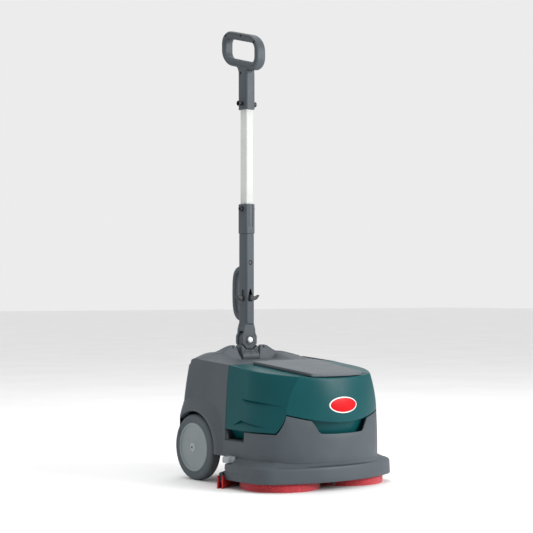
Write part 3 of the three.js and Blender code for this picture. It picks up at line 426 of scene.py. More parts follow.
def moulded(name, color, roughness, grain=1400, depth=0.0001, strength=0.35, specular=0.45, coat=0.0):
    """Moulded plastic: a fine spark-eroded grain, slow tone drift and faint handling marks."""
    made, tree, surface = shader(name, color, roughness, specular=specular, coat=coat)
    drift = noise(tree, 9, 4)
    tree.links.new(ramp(tree, drift, [(0.3, tone(color, 0.9)), (0.72, tone(color, 1.1))]),
                   surface.inputs["Base Color"])
    rubbed = noise(tree, 55, 5, roughness=0.65)
    tree.links.new(spread(tree, rubbed, roughness - 0.09, roughness + 0.1), surface.inputs["Roughness"])
    first = bump(tree, surface, noise(tree, grain, 2), strength, depth)
    bump(tree, surface, noise(tree, 28, 2), 0.12, 0.0006, before=first)
    return made


def brushed(name, color, roughness=0.32):
    made, tree, surface = shader(name, color, roughness, metallic=1.0)
    lines = noise(tree, 600, 3, stretch=(0.05, 1, 1))
    tree.links.new(spread(tree, lines, roughness - 0.1, roughness + 0.15), surface.inputs["Roughness"])
    tree.links.new(ramp(tree, noise(tree, 30, 3), [(0.3, tone(color, 0.85)), (0.7, tone(color, 1.05))]),
                   surface.inputs["Base Color"])
    bump(tree, surface, lines, 0.15, 0.00005)
    return made


def fibrous(name, color):
    """A pad of tangled coarse fibres."""
    made, tree, surface = shader(name, color, 0.92, sheen=0.25)
    surface.inputs["Sheen Roughness"].default_value = 0.6
    where = tree.nodes.new("ShaderNodeTexCoord")
    cells = tree.nodes.new("ShaderNodeTexVoronoi")
    cells.feature = "DISTANCE_TO_EDGE"
    cells.inputs["Scale"].default_value = 300
    tree.links.new(where.outputs["Object"], cells.inputs["Vector"])
    tangle = noise(tree, 300, 6, roughness=0.8)
    tree.links.new(ramp(tree, tangle, [(0.34, tone(color, 0.35)), (0.5, color), (0.64, tone(color, 1.75))]),
                   surface.inputs["Base Color"])
    first = bump(tree, surface, tangle, 0.9, 0.0012)
    bump(tree, surface, cells.outputs["Distance"], 0.6, 0.0006, before=first)
    return made


BODY_GREY = (0.061, 0.074, 0.085)
DEEP_GREY = (0.024, 0.028, 0.034)
TANK_TEAL = (0.0025, 0.06, 0.067)
SKINS = {
    "body_grey": moulded("grained_body_plastic", BODY_GREY, 0.48, specular=0.25),
    "dark_plastic": moulded("dark_moulded_plastic", DEEP_GREY, 0.46, specular=0.35),
    "tank_teal": moulded("teal_tank_plastic", TANK_TEAL, 0.34, grain=900, strength=0.18, specular=0.14),
    "lid_grey": moulded("pale_grained_lid", (0.092, 0.108, 0.122), 0.46, strength=0.5, specular=0.3),
    "pale_plastic": moulded("pale_knob_plastic", (0.3, 0.335, 0.35), 0.45),
    "white_plastic": moulded("white_plastic", (0.82, 0.84, 0.83), 0.35),
    "tube_white": moulded("white_tube_coating", (0.56, 0.57, 0.555), 0.6, grain=700, strength=0.12,
                          specular=0.2),
    "tyre": moulded("grey_tyre_rubber", (0.06, 0.076, 0.086), 0.72, grain=700, depth=0.0003, strength=0.5),
    "hub_grey": moulded("grey_hub_plastic", (0.19, 0.222, 0.228), 0.5),
    "pad_red": fibrous("red_pad_fibre", (0.42, 0.02, 0.03)),
    "squeegee_red": moulded("red_blade_rubber", (0.5, 0.018, 0.02), 0.5, grain=500, strength=0.2),
    "steel": brushed("brushed_steel", (0.55, 0.56, 0.58)),
    "black_plastic": moulded("black_plastic", (0.012, 0.013, 0.015), 0.5),
    "black_steel": moulded("blackened_screw_steel", (0.014, 0.015, 0.017), 0.32, grain=500, strength=0.15),
    "hose_rubber": moulded("black_hose_rubber", (0.01, 0.01, 0.011), 0.6, grain=500),
    "board_green": moulded("coated_board", (0.02, 0.13, 0.04), 0.35, grain=300),
    "battery_case": moulded("battery_case", (0.02, 0.024, 0.028), 0.45),
    "badge_red": moulded("glossy_red_badge", (0.52, 0.003, 0.006), 0.35, grain=300, strength=0.05,
                         specular=0.12),
}


def finish_piece(piece, body, slot, *nodes):
    """Gives a piece the skin of its slot, puts it on its body, and hides the CAD nodes it stands for."""
    piece.data.materials.clear()
    piece.data.materials.append(SKINS[slot])
    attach(piece, body)
    if nodes:
        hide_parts(*nodes)
    return piece


# ---- tank
def ring_at(height_of, inset, rear=TANK_REAR):
    """The body's ring with each point at its own height; height_of(x, y) gives the height."""
    heights = [height_of(x, min(y, rear)) for x, y in whole(body_half(SEAM_Z))]
    cache = {}
    ring = []
    for i, height in enumerate(heights):
        key = round(height, 1)
        if key not in cache:
            cache[key] = whole(body_half(key, inset))
        x, y = cache[key][i]
        ring.append((x, y, height))
    return ring


def keep_ahead(ring, limit):
    return [(x, min(y, limit), z) for x, y, z in ring]


def tank_bottom(x, y):
    return seam_z(x, y - 0.22) + 2.5


def tank_side_ring(share):
    """A ring of the tank's wall, by its share of the way from the seam to the roof."""
    def height(x, y):
        bottom = tank_bottom(x, y)
        return bottom + 2 + share * (roof_z(y) - 5.5 - bottom)
    return ring_at(height, 0.0)


def tank_shell():
    """The skin from the seam to the roof, turned in under the roof's rounded edge to the mouth."""
    rings = []
    for inset, rise in [(14, 1.5), (7, 0.6), (2.2, 0.3), (0.8, 0.5), (0.1, 1.4)]:
        rings.append(ring_at(lambda x, y, rise=rise: tank_bottom(x, y) + rise, inset))
    rings += [tank_side_ring(share) for share in (0.0, 0.12, 0.25, 0.38, 0.5, 0.62, 0.74, 0.86, 0.95)]
    for inset, sink in [(0.1, 2.6), (0.6, 1.3), (1.6, 0.45), (3.0, 0.0), (9.0, 0.0), (14.0, 0.0)]:
        rings.append(ring_at(lambda x, y, sink=sink: roof_z(y) - sink, inset))
    rings = [keep_ahead(ring, TANK_REAR - (0.7 if index < 3 else 0)) for index, ring in enumerate(rings)]
    mouth = mouth_ring(rings[-1], 9.0)
    rings.append(mouth)
    rings += [[(x * 0.995, y, z - sink) for x, y, z in mouth] for sink in (1.2, 24)]
    rings.insert(0, [(x * 0.93, y * 0.93, 112.0) for x, y, z in rings[0]])
    dents = [dent_tool(side, knots) for knots in (UPPER_DENT, LOWER_DENT) for side in (-1, 1)]
    return cut(stack("tank_skin", rings, angle=24), *dents, angle=24)


def wall_x(y, z):
    """Half-width of the body's side at a place."""
    half = [p for p in body_half(z) if p.x > 60]
    for a, b in zip(half, half[1:]):
        if a.y <= y <= b.y and b.y > a.y:
            return a.x + (b.x - a.x) * (y - a.y) / (b.y - a.y)
    return body_at(z)["side"]


def dent_tool(side, knots):
    """A wedge to sink into the tank's side, deepest along its upper edge."""
    points = []
    for y, z_high, z_low, depth in knots:
        x_high, x_low = wall_x(y, z_high), wall_x(y, z_low)
        points += [(side * (x_high + 6), y, z_high), (side * (x_high - depth + 0.02), y, z_high),
                   (side * (x_low + 0.02), y, z_low), (side * (x_low + 6), y, z_low)]
    faces = grid_faces(len(knots), 4)
    faces += [(3, 2, 1, 0), tuple(len(points) - 4 + k for k in range(4))]
    return new_object("dent", points, faces)


UPPER_DENT = [
    (52, 209, 207.6, 0.1), (47, 208.6, 204.5, 2.4), (40, 208, 200.6, 5.2), (30, 207.2, 196.4, 6.6),
    (14, 206, 194.8, 6.8), (-6, 204.4, 193.8, 6.2), (-26, 202.2, 193.0, 4.8), (-46, 199.6, 192.4, 3.0),
    (-60, 197.2, 192.0, 1.6), (-74, 194.6, 191.8, 0.1)]
LOWER_DENT = [
    (82, 145.4, 144.6, 0.1), (72, 149.4, 144.6, 2.4), (60, 154.4, 144.6, 5.0), (51, 158, 144.8, 6.4),
    (38, 155.6, 145.0, 6.0), (18, 152.4, 145.3, 4.6), (-4, 149.4, 145.6, 2.8), (-24, 147.2, 146.0, 1.2),
    (-34, 146.6, 146.2, 0.1)]


def lid_half_width(y, inset=0.0):
    return 76 + (99 - 76) * (y + 96) / (110 + 96) - inset


def mouth_ring(outer, inset):
    """The mouth's edge, point for point with the ring outside it."""
    ring = []
    for x, y, _ in outer:
        my = min(max(y, -88.0), 92.0)
        limit = lid_half_width(my, inset + 6)
        mx = max(-limit, min(limit, x))
        ring.append((mx, my, roof_z(my)))
    return ring


# ---- lower body
WALL = 4.0
RIM = [(112, 286), (241, 294.5), (279, 288), (291, 283), (307, 276)]
SLOT_FLOOR, SLOT_HALF = 252.0, 30.0
WELL_WALL = 146.0


def along_line(knots, value):
    for (a, za), (b, zb) in zip(knots, knots[1:]):
        if value <= b:
            return za + (zb - za) * max(0.0, (value - a) / (b - a))
    return knots[-1][1]


def wall_top(x, y):
    if y > 113:
        behind = y > 262 and abs(x) < SLOT_HALF
        return SLOT_FLOOR if behind else along_line(RIM, y)
    top = seam_z(x, y)
    if y < -80:
        top = min(top, 131 + 1.6 * (x / 72) ** 2 + max(0.0, abs(x) - 72) * 2.2)
    if abs(x) > 150 and POCKET_START < y < POCKET_END:
        top = 108.0
    return top


def wall_bottom(x, y):
    if abs(x) > 148.5 and abs(y - WHEEL_Y) < ARCH:
        return max(69.3, WHEEL_Z + math.sqrt(ARCH ** 2 - (y - WHEEL_Y) ** 2))
    return 66.4 if y < 78 else 69.3


def lower_body():
    """The grey wall all round, with arches at the wheels, hand pockets, the seam and the rim."""
    half = body_half(SEAM_Z)
    cache = {}

    def spot(index, z, inset):
        key = (round(z), inset)
        if key not in cache:
            cache[key] = body_half(key[0], inset)
        return cache[key][index]

    sections = []
    for index, plan in enumerate(half):
        top, bottom = wall_top(plan.x, plan.y), wall_bottom(plan.x, plan.y)
        shape = [(WALL, bottom + 0.6), (WALL - 0.9, bottom), (1.0, bottom), (0.3, bottom + 0.35),
                 (0.0, bottom + 1.2)]
        shape += [(0.0, bottom + 1.2 + (top - bottom - 2.8) * share) for share in (0.2, 0.4, 0.6, 0.8)]
        shape += [(0.0, top - 1.6), (0.35, top - 0.6), (1.2, top), (WALL - 0.9, top), (WALL, top - 0.7)]
        sections.append([(spot(index, z, inset), z) for inset, z in shape])
    right = [[(p.x, p.y, z) for p, z in section] for section in sections]
    left = [[(-x, y, z) for x, y, z in section] for section in reversed(right[1:-1])]
    return hoop("lower_body", right + left, angle=24)


def arch_sector(name, profile_at, side, steps=56):
    """A closed profile carried round the wheel arch, from the sill in front to the rear wall."""
    start, end = math.radians(186), math.radians(16)
    rings = []
    for k in range(steps + 1):
        angle = start + (end - start) * k / steps
        ring = []
        for radius, x in profile_at(angle):
            y, z = WHEEL_Y + radius * math.cos(angle), WHEEL_Z + radius * math.sin(angle)
            ring.append((side * x, min(y, 294.5), max(z, 71.2)))
        rings.append(ring)
    return stack(name, rings)


def fender_profile(angle):
    """The lip round the arch, wider towards the sill in front of the wheel."""
    front = smooth_step(-math.cos(angle), 0.1, 1.0)
    crest = 97 + 7 * front
    foot = 121 + 13 * front
    return [(88.2, 168), (88.0, 182.0), (88.8, 183.6), (90.5, 184.0), (crest - 2, 183.6),
            (crest + 1, 182.4), (crest + (foot - crest) * 0.35, 180.2), ((crest + foot) / 2 + 4, 177.0),
            (foot - 1, 173.6), (foot + 2, 172.0), (foot + 2, 168)]


def liner_profile(angle):
    """The wheel well's round skin, the same at every angle."""
    return [(88.0, 143.5), (88.0, 172.0), (91.5, 172.0), (91.5, 143.5)]


def well_wall(side):
    """The inner wall that closes a wheel well."""
    angles = [math.radians(a) for a in range(0, 181, 6)]
    outline = [(min(WHEEL_Y + 90 * math.cos(a), 295), WHEEL_Z + 90 * math.sin(a)) for a in angles]
    outline += [(WHEEL_Y - 90, 71), (295, 71)]
    return slab(f"well_wall_{side_name(side)}", outline, *flank(side, 143, WELL_WALL), axis="X", edge=0.5)


def side_name(side):
    return "left" if side > 0 else "right"


def body_floor():
    """Tray under the tank, slab under the battery and the wall between them."""
    plan = [(p.x, p.y) for p in body_half(108, WALL + 0.2) if p.y < 112]
    edge = plan[-1][0]
    outline = plan + [(edge, 112.0), (-edge, 112.0)] + [(-x, y) for x, y in reversed(plan[1:])]
    tray = slab("tank_tray", outline, 107, 110.4, edge=0.4)
    base = box(-142, 142, 111, 292, 96, 100, "body_floor", edge=0.5)
    bulkhead = box(-166, 166, 112.6, 117, 100.5, 275, "bulkhead", edge=0.5)
    port = rod("port_hole", 12, 0, 30, (0, 100, 248), "Y", 32)
    return [tray, base, cut(bulkhead, port)]


# ---- skirt
SKIRT_FRONT, SKIRT_REAR = -121.0, 86.0
KNOB_X, KNOB_Y = 190, 75


def skirt_half():
    """Half the skirt's outline, from the front's middle to the back's middle."""
    bow = 390.0
    points = [(x, SKIRT_FRONT + bow - math.sqrt(bow ** 2 - x ** 2)) for x in range(0, 146, 6)]
    centre, radius = (145, -25), 61
    points += [(centre[0] + radius * math.cos(math.radians(a)),
                centre[1] + radius * math.sin(math.radians(a)))
               for a in range(-64, -3, 6)]
    points += [bezier((206, -25), (211.5, 25), (207.5, 68), k / 12)[:] for k in range(1, 13)]
    points += [bezier((207.5, 68), (206, SKIRT_REAR), (190, SKIRT_REAR), k / 6)[:] for k in range(1, 7)]
    points += [(x, SKIRT_REAR) for x in (176, 150, 120, 80, 40, 0)]
    return [Vector(p[:2]) for p in points]


def nearest_on_body(point, plan):
    best, gap = None, 1e9
    for a, b in zip(plan, plan[1:]):
        step = b - a
        share = max(0.0, min(1.0, (point - a).dot(step) / max(step.length_squared, 1e-9)))
        spot = a + step * share
        if (point - spot).length < gap:
            best, gap = spot, (point - spot).length
    return best


SKIRT_LEVELS = [
    (9, 58), (3.6, 54), (3.5, 40), (3.5, 21), (3.0, 20.2), (2.2, 20.0), (1.0, 20.3), (0.3, 21),
    (0.05, 22.5), (0.2, 33.4), (0.3, 34.6, 0.3), (0.3, 35.4, 1.6), (0.5, 37.4, 1.8), (0.9, 46, 1.4),
    (1.3, 51.2, 1.2), (1.9, 53.4, 0.9), (3.0, 55.1, 0.5), (4.6, 56.1, 0.2), (6.4, 56.6)]


def skirt_ring(half, inset, z, step=0.0):
    """The skirt's outline at a height; the step sets the sides back more than the front."""
    plain, stepped = inset_half(half, inset), inset_half(half, inset + step)
    points = [a.lerp(b, smooth_step(a.y, -70, 10)) for a, b in zip(plain, stepped)]
    return [(x, y, z) for x, y in whole(points)]


def shelf_ring(edge, plan, share):
    """A ring on the way from the skirt's upper edge to the body's wall, rising as it nears the wall."""
    shelf = []
    for point in edge:
        reach = nearest_on_body(point, plan)
        here = point + (reach - point) * share
        near = min(1.0, (reach - point).length / 22)
        climb = 12.6 * (share ** 1.15) * near + 9.5 * share ** 3 * (1 - near)
        shelf.append(Vector((here.x, here.y, 56.6 + climb)))
    other = [Vector((-p.x, p.y, p.z)) for p in reversed(shelf[1:-1])]
    return [tuple(p) for p in shelf + other]


def skirt():
    """The hollow skirt round the pads, notched at the back for the squeegee and its knobs."""
    half = skirt_half()
    plan = [p for p in body_half(70, 1.0) if p.y < 140]
    rings = [skirt_ring(half, *level) for level in SKIRT_LEVELS]
    edge = inset_half(half, 6.4)
    rings += [shelf_ring(edge, plan, share) for share in (0.12, 0.3, 0.5, 0.7, 0.86, 0.95, 1.0)]
    tools = [box(-176, 176, 55, 120, 0, 56)]
    tools += [box(x - 14, x + 11, 62, 120, 0, 43) for x in (-KNOB_X, KNOB_X)]
    tools += [rod("seat", 18.5, 57.5, 90, (x, KNOB_Y, 0)) for x in (-KNOB_X, KNOB_X)]
    tools += [box(*flank(side, KNOB_X, 215), 56.5, 100, 57.5, 90) for side in (-1, 1)]
    return cut(stack("skirt", rings, angle=24), *tools, angle=24)


def box(x0, x1, y0, y1, z0, z1, name="tool", edge=0.0):
    return slab(name, [(x0, y0), (x1, y0), (x1, y1), (x0, y1)], z0, z1, edge=edge)


# ---- rear cover
SLOT_LOW, SLOT_HIGH, SLOT_FRONT = 27.0, 40.0, 243.5
VALLEY_Z, HUMP_Z, HUMP_FRONT, RIDGE_Y = 290.0, 326.0, 246.6, 260.0


def ridge_z(x):
    away = abs(x)
    return HUMP_Z - 17 * smooth_step(away, 52, 90) - 17 * smooth_step(away, 92, 190)


def soft_max(a, b, blend):
    if abs(a - b) >= blend:
        return max(a, b)
    h = 0.5 + 0.5 * (a - b) / blend
    return b + (a - b) * h + blend * h * (1 - h) * 0.5


def cover_z(x, y):
    climb = min(1.0, max(0.0, (y - TANK_REAR) / (RIDGE_Y - TANK_REAR)))
    valley = 286 + 5 * climb
    shoulder = 286 + (min(309.0, ridge_z(x)) - 286) * climb ** 2
    side = valley + max(0.0, shoulder - valley) * smooth_step(abs(x), 64, 88)
    slope = (HUMP_Z - VALLEY_Z) / (RIDGE_Y - HUMP_FRONT)
    behind = HUMP_Z - 0.8 * max(0.0, y - RIDGE_Y - 5)
    hump = -soft_max(-min(ridge_z(x), behind), -(VALLEY_Z + slope * (y - HUMP_FRONT)), 5)
    fall = 9 * smooth_step(y, 262, 301) * smooth_step(abs(x), 112, 166)
    return soft_max(side, hump, 3) - fall


def cover_half_width(y):
    at = body_at(285)
    corner = at["rear"] - REAR_ROUND
    width = at["side"] - WALL - 0.5
    if y > corner:
        width -= REAR_ROUND * (1 - math.sqrt(max(0.0, 1 - ((y - corner) / REAR_ROUND) ** 2)))
    return width


RIDGE_YS = [SLOT_FRONT - 1.2, SLOT_FRONT - 0.1, SLOT_FRONT + 0.1, 246, 248.6, 250, 252, 254, 256, 258,
            260, 262, 264, 267, 270, 273, 277, 281]
INNER_XS = [0, 12, 23, SLOT_LOW - 0.1, SLOT_LOW + 0.1, 28.5, 29.7, 31, 33.5, 36, 38, SLOT_HIGH - 0.6,
            SLOT_HIGH + 0.6, 42, 45, 50, 55, 60, 64, 68, 72, 76, 80, 84, 88, 92, 96, 104, 112, 120, 130,
            140]


def cover_ys(front, rear):
    """The rows' places, closer together round the slot and the ridge."""
    ys = [front, front + 0.5, front + 1.6] + [front + 6 + k * 7.5 for k in range(17)] + RIDGE_YS
    return sorted(y for y in ys if y < rear - 2) + [rear - 1.6, rear - 0.5, rear]


def cover_row(y, front, rear):
    """A row of points across the cover, with the slot's sloping walls and a rounded outer edge."""
    width = cover_half_width(y)
    reach = INNER_XS + [140 + (width - 140) * share for share in (0.35, 0.6, 0.8, 0.92, 0.975, 1.0)]
    row = []
    for x in [-x for x in reversed(reach[1:])] + reach:
        z = cover_z(x, y)
        away = abs(x)
        if y > SLOT_FRONT:
            wall = VALLEY_Z + (away - SLOT_LOW) * (HUMP_Z - VALLEY_Z) / (SLOT_HIGH - SLOT_LOW)
            z = min(z, wall) if away >= SLOT_LOW else SLOT_FLOOR + 4
        edge = min(y - front, rear - y, width - away)
        z -= 1.6 * (1 - smooth_step(edge, 0, 1.8))
        row.append((x, y, z))
    return row


def sheet_border(rows, count):
    """Indices of the points round a sheet's edge."""
    border = list(range(count))
    border += [row * count + count - 1 for row in range(1, rows)]
    border += [(rows - 1) * count + i for i in range(count - 2, -1, -1)]
    border += [row * count for row in range(rows - 2, 0, -1)]
    return border


def rear_cover():
    """A height field over the body between the tank and the rear wall, with a slot for the mast."""
    front, rear = TANK_REAR + 2.3, body_at(290)["rear"] - WALL - 0.5
    rows = [cover_row(y, front, rear) for y in cover_ys(front, rear)]
    count = len(rows[0])
    top = [point for row in rows for point in row]
    faces = grid_faces(len(rows), count, closed_ring=False)
    border = sheet_border(len(rows), count)
    base = len(top)
    points = top + [(top[i][0], top[i][1], 277.0 if top[i][2] > 270 else 250.0) for i in border]
    for k, corner in enumerate(border):
        following = (k + 1) % len(border)
        faces.append((border[following], corner, base + k, base + following))
    faces.append(tuple(base + k for k in range(len(border))))
    cover = new_object("humped_cover", points, faces, angle=28)
    seats = [rod("screw_seat", 3.3, 318, 340, (side * 48, 257.5, 0)) for side in (-1, 1)]
    return cut(cover, *seats, angle=28)


# ---- lid, badge
LID_LOW, LID_HIGH = 0.6, 8.0


def lid_outline(inset):
    """The lid's plan: a bowed front edge and sides that spread towards the hinge."""
    corner = 77 - inset
    half = [(share * corner, -103 + inset + 9 * share ** 2, 0) for share in (0, 0.2, 0.4, 0.6, 0.8)]
    half += [(corner, -93 + inset, 6), (99 - inset, 110 - inset, 7)]
    other = [(-x, y, r) for x, y, r in reversed(half[1:])]
    return anticlockwise(rounded([half[0]] + half[1:] + other, steps=6))


def lid_piece():
    """A flat plate with a rounded rim and a notch for each hinge ear."""
    levels = [(3.0, LID_LOW), (0.8, LID_LOW), (0.2, LID_LOW + 0.6), (0.0, LID_LOW + 1.6), (0.0, 6.2),
              (0.2, 7.0), (0.8, 7.6), (1.8, 7.8), (9.0, 7.9), (30.0, 8.0)]
    rings = []
    for inset, height in levels:
        rings.append([(x, y, roof_z(y) + height) for x, y in lid_outline(inset)])
    lid = stack("lid_plate", rings, angle=24)
    notches = [box(*flank(side, 55.7, 64.3), 103.5, 120, 270, 300) for side in (-1, 1)]
    return cut(lid, *notches, angle=24)


def tank_front_y(x, z):
    at = body_at(z)
    radius = front_radius(at)
    return at["front"] + radius - math.sqrt(radius ** 2 - x ** 2)


BADGE_Z = 197.0


def badge_ring(half_x, half_z, out, steps=72):
    ring = []
    for k in range(steps):
        angle = 2 * math.pi * k / steps
        x, z = half_x * math.cos(angle), BADGE_Z + half_z * math.sin(angle)
        ring.append((x, tank_front_y(x, z) - out, z))
    return ring


def badge_plate():
    levels = [(38.4, 16.4, -0.5), (38.4, 16.4, 1.5), (37.6, 15.7, 1.9), (32, 13, 2.25), (20, 8, 2.5),
              (7, 3, 2.6)]
    return stack("badge_plate", [badge_ring(*level) for level in levels])


def badge_rim():
    levels = [(38.5, 16.5, -0.5), (38.5, 16.5, 2.2), (38.9, 16.9, 2.6), (39.8, 17.8, 2.7),
              (40.6, 18.6, 2.2), (41.0, 19.0, 1.4), (41.0, 19.0, -0.5)]
    return hoop("badge_rim", [badge_ring(*level) for level in levels])


# ---- wheels, pads, knobs
WHEEL_CENTRE = (0, WHEEL_Y, WHEEL_Z)


def outwards(side, profile):
    return [(radius, side * along) for radius, along in profile]


def tyre(side):
    profile = [(59.9, 152.2), (61, 152.0), (72, 152.2), (75, 153.0), (77.6, 154.6), (79.4, 157),
               (80.2, 160), (80.3, 164.0), (79.7, 164.4), (79.7, 165.2), (80.3, 165.6), (80.3, 170.4),
               (79.7, 170.8), (79.7, 171.6), (80.3, 172), (80.2, 176), (79.5, 178.6), (77.6, 181.4),
               (75, 182.8), (72, 183.4), (68, 183.5), (66.8, 182.9), (65.8, 182.9), (64.6, 183.4),
               (61, 183.2), (59.9, 182.8)]
    return lathe(f"tyre_{side_name(side)}_round", outwards(side, profile), WHEEL_CENTRE, "X", 128)


def hub(side):
    profile = [(8.4, 154), (18, 154), (18.5, 154.5), (18.5, 172), (55.4, 173.6), (55.6, 156.5),
               (56.2, 156), (59, 156), (59.5, 156.5), (59.5, 182.6), (59.0, 183.3), (58.0, 183.7),
               (55.2, 183.9), (54.4, 183.4), (53.8, 181.8), (52.6, 181.1), (50.8, 180.9), (34, 182.2),
               (17.0, 183.3), (14.2, 183.9), (9.6, 184.0), (8.4, 183.4)]
    return lathe(f"wheel_disc_{side_name(side)}", outwards(side, profile), WHEEL_CENTRE, "X", 112)


PAD_X = 98


def pad(side):
    """A disc of fibre whose edge wavers a little."""
    profile = [(0, 0), (60, 0), (93.4, 0.1), (94.4, 1.4), (94.6, 5), (94.2, 9.5), (94.7, 14), (94.3, 17.4),
               (93.2, 18.8), (60, 19), (0, 19)]
    piece = lathe(f"fibre_pad_{side_name(side)}", profile, (PAD_X * side, 0, 0), sides=160)
    for vertex in piece.data.vertices:
        x, y = vertex.co.x - PAD_X * MM * side, vertex.co.y - PAD_LINE_Y
        if math.hypot(x, y) > 0.09:
            angle = math.atan2(y, x)
            coarse = 0.0022 * math.sin(41 * angle + vertex.co.z * 900)
            waver = 1 + coarse + 0.0016 * math.sin(67 * angle + 2)
            vertex.co.x, vertex.co.y = PAD_X * MM * side + x * waver, PAD_LINE_Y + y * waver
    return piece


def knob_ring(side, radius, dip, z, steps=90):
    ring = []
    for k in range(steps):
        angle = 2 * math.pi * k / steps
        reach = radius - dip + dip * math.cos(5 * angle)
        ring.append((KNOB_X * side + reach * math.cos(angle), KNOB_Y + reach * math.sin(angle), z))
    return ring


def knob(side):
    """A five-lobed hand knob with a sunk top, on its stud."""
    levels = [(3.9, 0, 27), (3.9, 0, 57.9), (14.5, 1.2, 58.0), (16.2, 1.6, 58.6), (17.0, 1.6, 60.4),
              (17.0, 1.6, 69.4), (16.4, 1.6, 71.6), (14.8, 1.5, 72.8), (12.6, 1.2, 73.2),
              (11.2, 0.9, 73.0), (10.4, 0.4, 71.8), (9.6, 0.0, 71.2), (4.0, 0, 71.0)]
    return stack(f"lobed_knob_{side_name(side)}", [knob_ring(side, *level) for level in levels], angle=30)


# ---- squeegee
PORT = (0, 152, 0)
SWEEP_KNOTS = [(0, 150), (70, 144), (130, 126), (180, 98), (222, 69)]


def squeegee_line(steps=72):
    """Points and normals along the squeegee from wing tip to wing tip."""
    knots = [Vector((-x, y)) for x, y in reversed(SWEEP_KNOTS[1:])] + [Vector(k) for k in SWEEP_KNOTS]
    points = [spline(knots, (len(knots) - 1) * k / steps) for k in range(steps + 1)]
    line = []
    for i, point in enumerate(points):
        along = points[min(i + 1, steps)] - points[max(i - 1, 0)]
        line.append((point, Vector((-along.y, along.x)).normalized()))
    return line


def swept(name, section, trim=0.0, angle=30):
    """A closed section of (offset, z) drawn along the squeegee line."""
    line = squeegee_line()
    cut_off = round(len(line) * trim)
    line = line[cut_off:len(line) - cut_off]
    rings = [[(p.x + n.x * off, p.y + n.y * off, z) for off, z in section] for p, n in line]
    return stack(name, rings, angle)


def blade(name, low, high):
    """A rubber strip on one side of the frame, a little thinner at its upper edge."""
    section = rounded([(low, 0, 0.4), (high, 0, 0.4), (high, 22, 0), (high - 0.7, 23, 0),
                       (high - 0.7, 30, 0.3), (low + 0.7, 30, 0.3), (low + 0.7, 23, 0), (low, 22, 0)],
                      steps=3)
    return swept(name, section)


def squeegee_ear(side):
    """A lug at the wing's end that the knob's stud goes through."""
    x = KNOB_X * side
    corners = [(x - 9, 66, 8.5), (x + 9, 66, 8.5), (x + 8, 90, 1), (x - 9, 90, 1)]
    return slab("ear", rounded(corners, steps=6), 30.3, 36, edge=1)


def squeegee_holder():
    """The curved frame between the blades, with its cap, an ear at each end and the neck of the port."""
    web = swept("squeegee_frame", rounded(both_sides([(4, 14, 1), (4, 36, 1)]), steps=3), trim=0.03)
    cap_corners = both_sides([(9, 30.3, 1.2), (9, 33, 0), (6.5, 36, 1.5)])
    cap = swept("cap", rounded(cap_corners, steps=3), trim=0.05)
    neck = lathe("neck", [(10, 30.3), (24, 30.3), (24, 36.8), (22.8, 38), (10, 38)], PORT, sides=72)
    ears = [squeegee_ear(side) for side in (-1, 1)]
    tools = [rod("bore", 15.6, 20, 60, PORT, sides=48), rod("drain", 3.8, 0, 60, PORT, sides=24)]
    tools += [rod("stud_room", 6, 0, 60, (KNOB_X * side, KNOB_Y, 0), sides=32) for side in (-1, 1)]
    return cut(join(web, cap, neck, *ears), *tools)


# ---- mast
MAST_Y, MAST_X, MAST_DEPTH = 265.0, 12.8, 16.3
TILT_Z, BOSS = 339.0, 24.4
TILT, RECLINE, GRIP_BOLT = (0, 0, TILT_Z), (0, 260, 297), (0, MAST_Y, 940)


def mast_ring(half_x, front, rear, z, front_round=5.0, rear_round=3.0):
    """A ring round the mast's square section, by its half-width and its reach to the front and rear."""
    corners = both_sides([(half_x, MAST_Y - front, front_round), (half_x, MAST_Y + rear, rear_round)])
    return [(x, y, z) for x, y in rounded(corners, steps=5)]


def tube_ring(grow, z):
    return mast_ring(10.8 + grow, 13.6 + grow, 13.6 + grow, z, 4.0, 3.0)


def facing(name, corners, y0, y1, edge=0.0, angle=35):
    """An outline of (x, z, radius) corners drawn out along Y."""
    return slab(name, rounded(corners, steps=4), y0, y1, axis="Y", edge=edge, angle=angle)


def line_tool(x0, z0, x1, z1, width, y0, y1):
    """A thin groove cutter seen from the front."""
    along = Vector((x1 - x0, z1 - z0)).normalized()
    across = Vector((-along.y, along.x)) * (width / 2)
    corners = [(x0 - across.x, z0 - across.y), (x1 - across.x, z1 - across.y),
               (x1 + across.x, z1 + across.y), (x0 + across.x, z0 + across.y)]
    return slab("groove", corners, y0, y1, axis="Y")


def rod(name, radius, along0, along1, centre, axis="Z", sides=40):
    return lathe(name, [(0, along0), (radius, along0), (radius, along1), (0, along1)], centre, axis, sides)


def mast_yoke():
    """The foot: a barrel on the recline pin, wide shoulders and the tongue that the fork straddles."""
    barrel_profile = [(4.8, -26.3), (14.4, -26.3), (16, -24.7), (16, 24.7), (14.4, 26.3), (4.8, 26.3)]
    barrel = lathe("mast_foot", barrel_profile, RECLINE, "X", 64)
    block_half = [(21.5, 297, 0), (26, 311, 3), (26, 321, 2), (21, 327, 2)]
    block = facing("block", both_sides(block_half), 251, 279, edge=1.5)
    rooms = [rod("room", BOSS + 1.5, y0, y1, TILT, "Y", 48) for y0, y1 in [(200, 257.7), (272.3, 300)]]
    tongue = facing("tongue", both_sides([(20, 300, 0), (20, 345, 3), (12, 357, 3)]), 258, 272, edge=0.6)
    shoulders = cut(block, *rooms)
    lines = [(0, 300, 0, 316), (12, 317, 22, 304), (-12, 317, -22, 304)]
    grooves = [line_tool(*line, 1.0, 240, 252) for line in lines]
    holes = [rod("hole", 4.8, -60, 60, RECLINE, "X"), rod("hole", 4.3, 230, 300, TILT, "Y")]
    return cut(join(barrel, shoulders, tongue), *grooves, *holes)


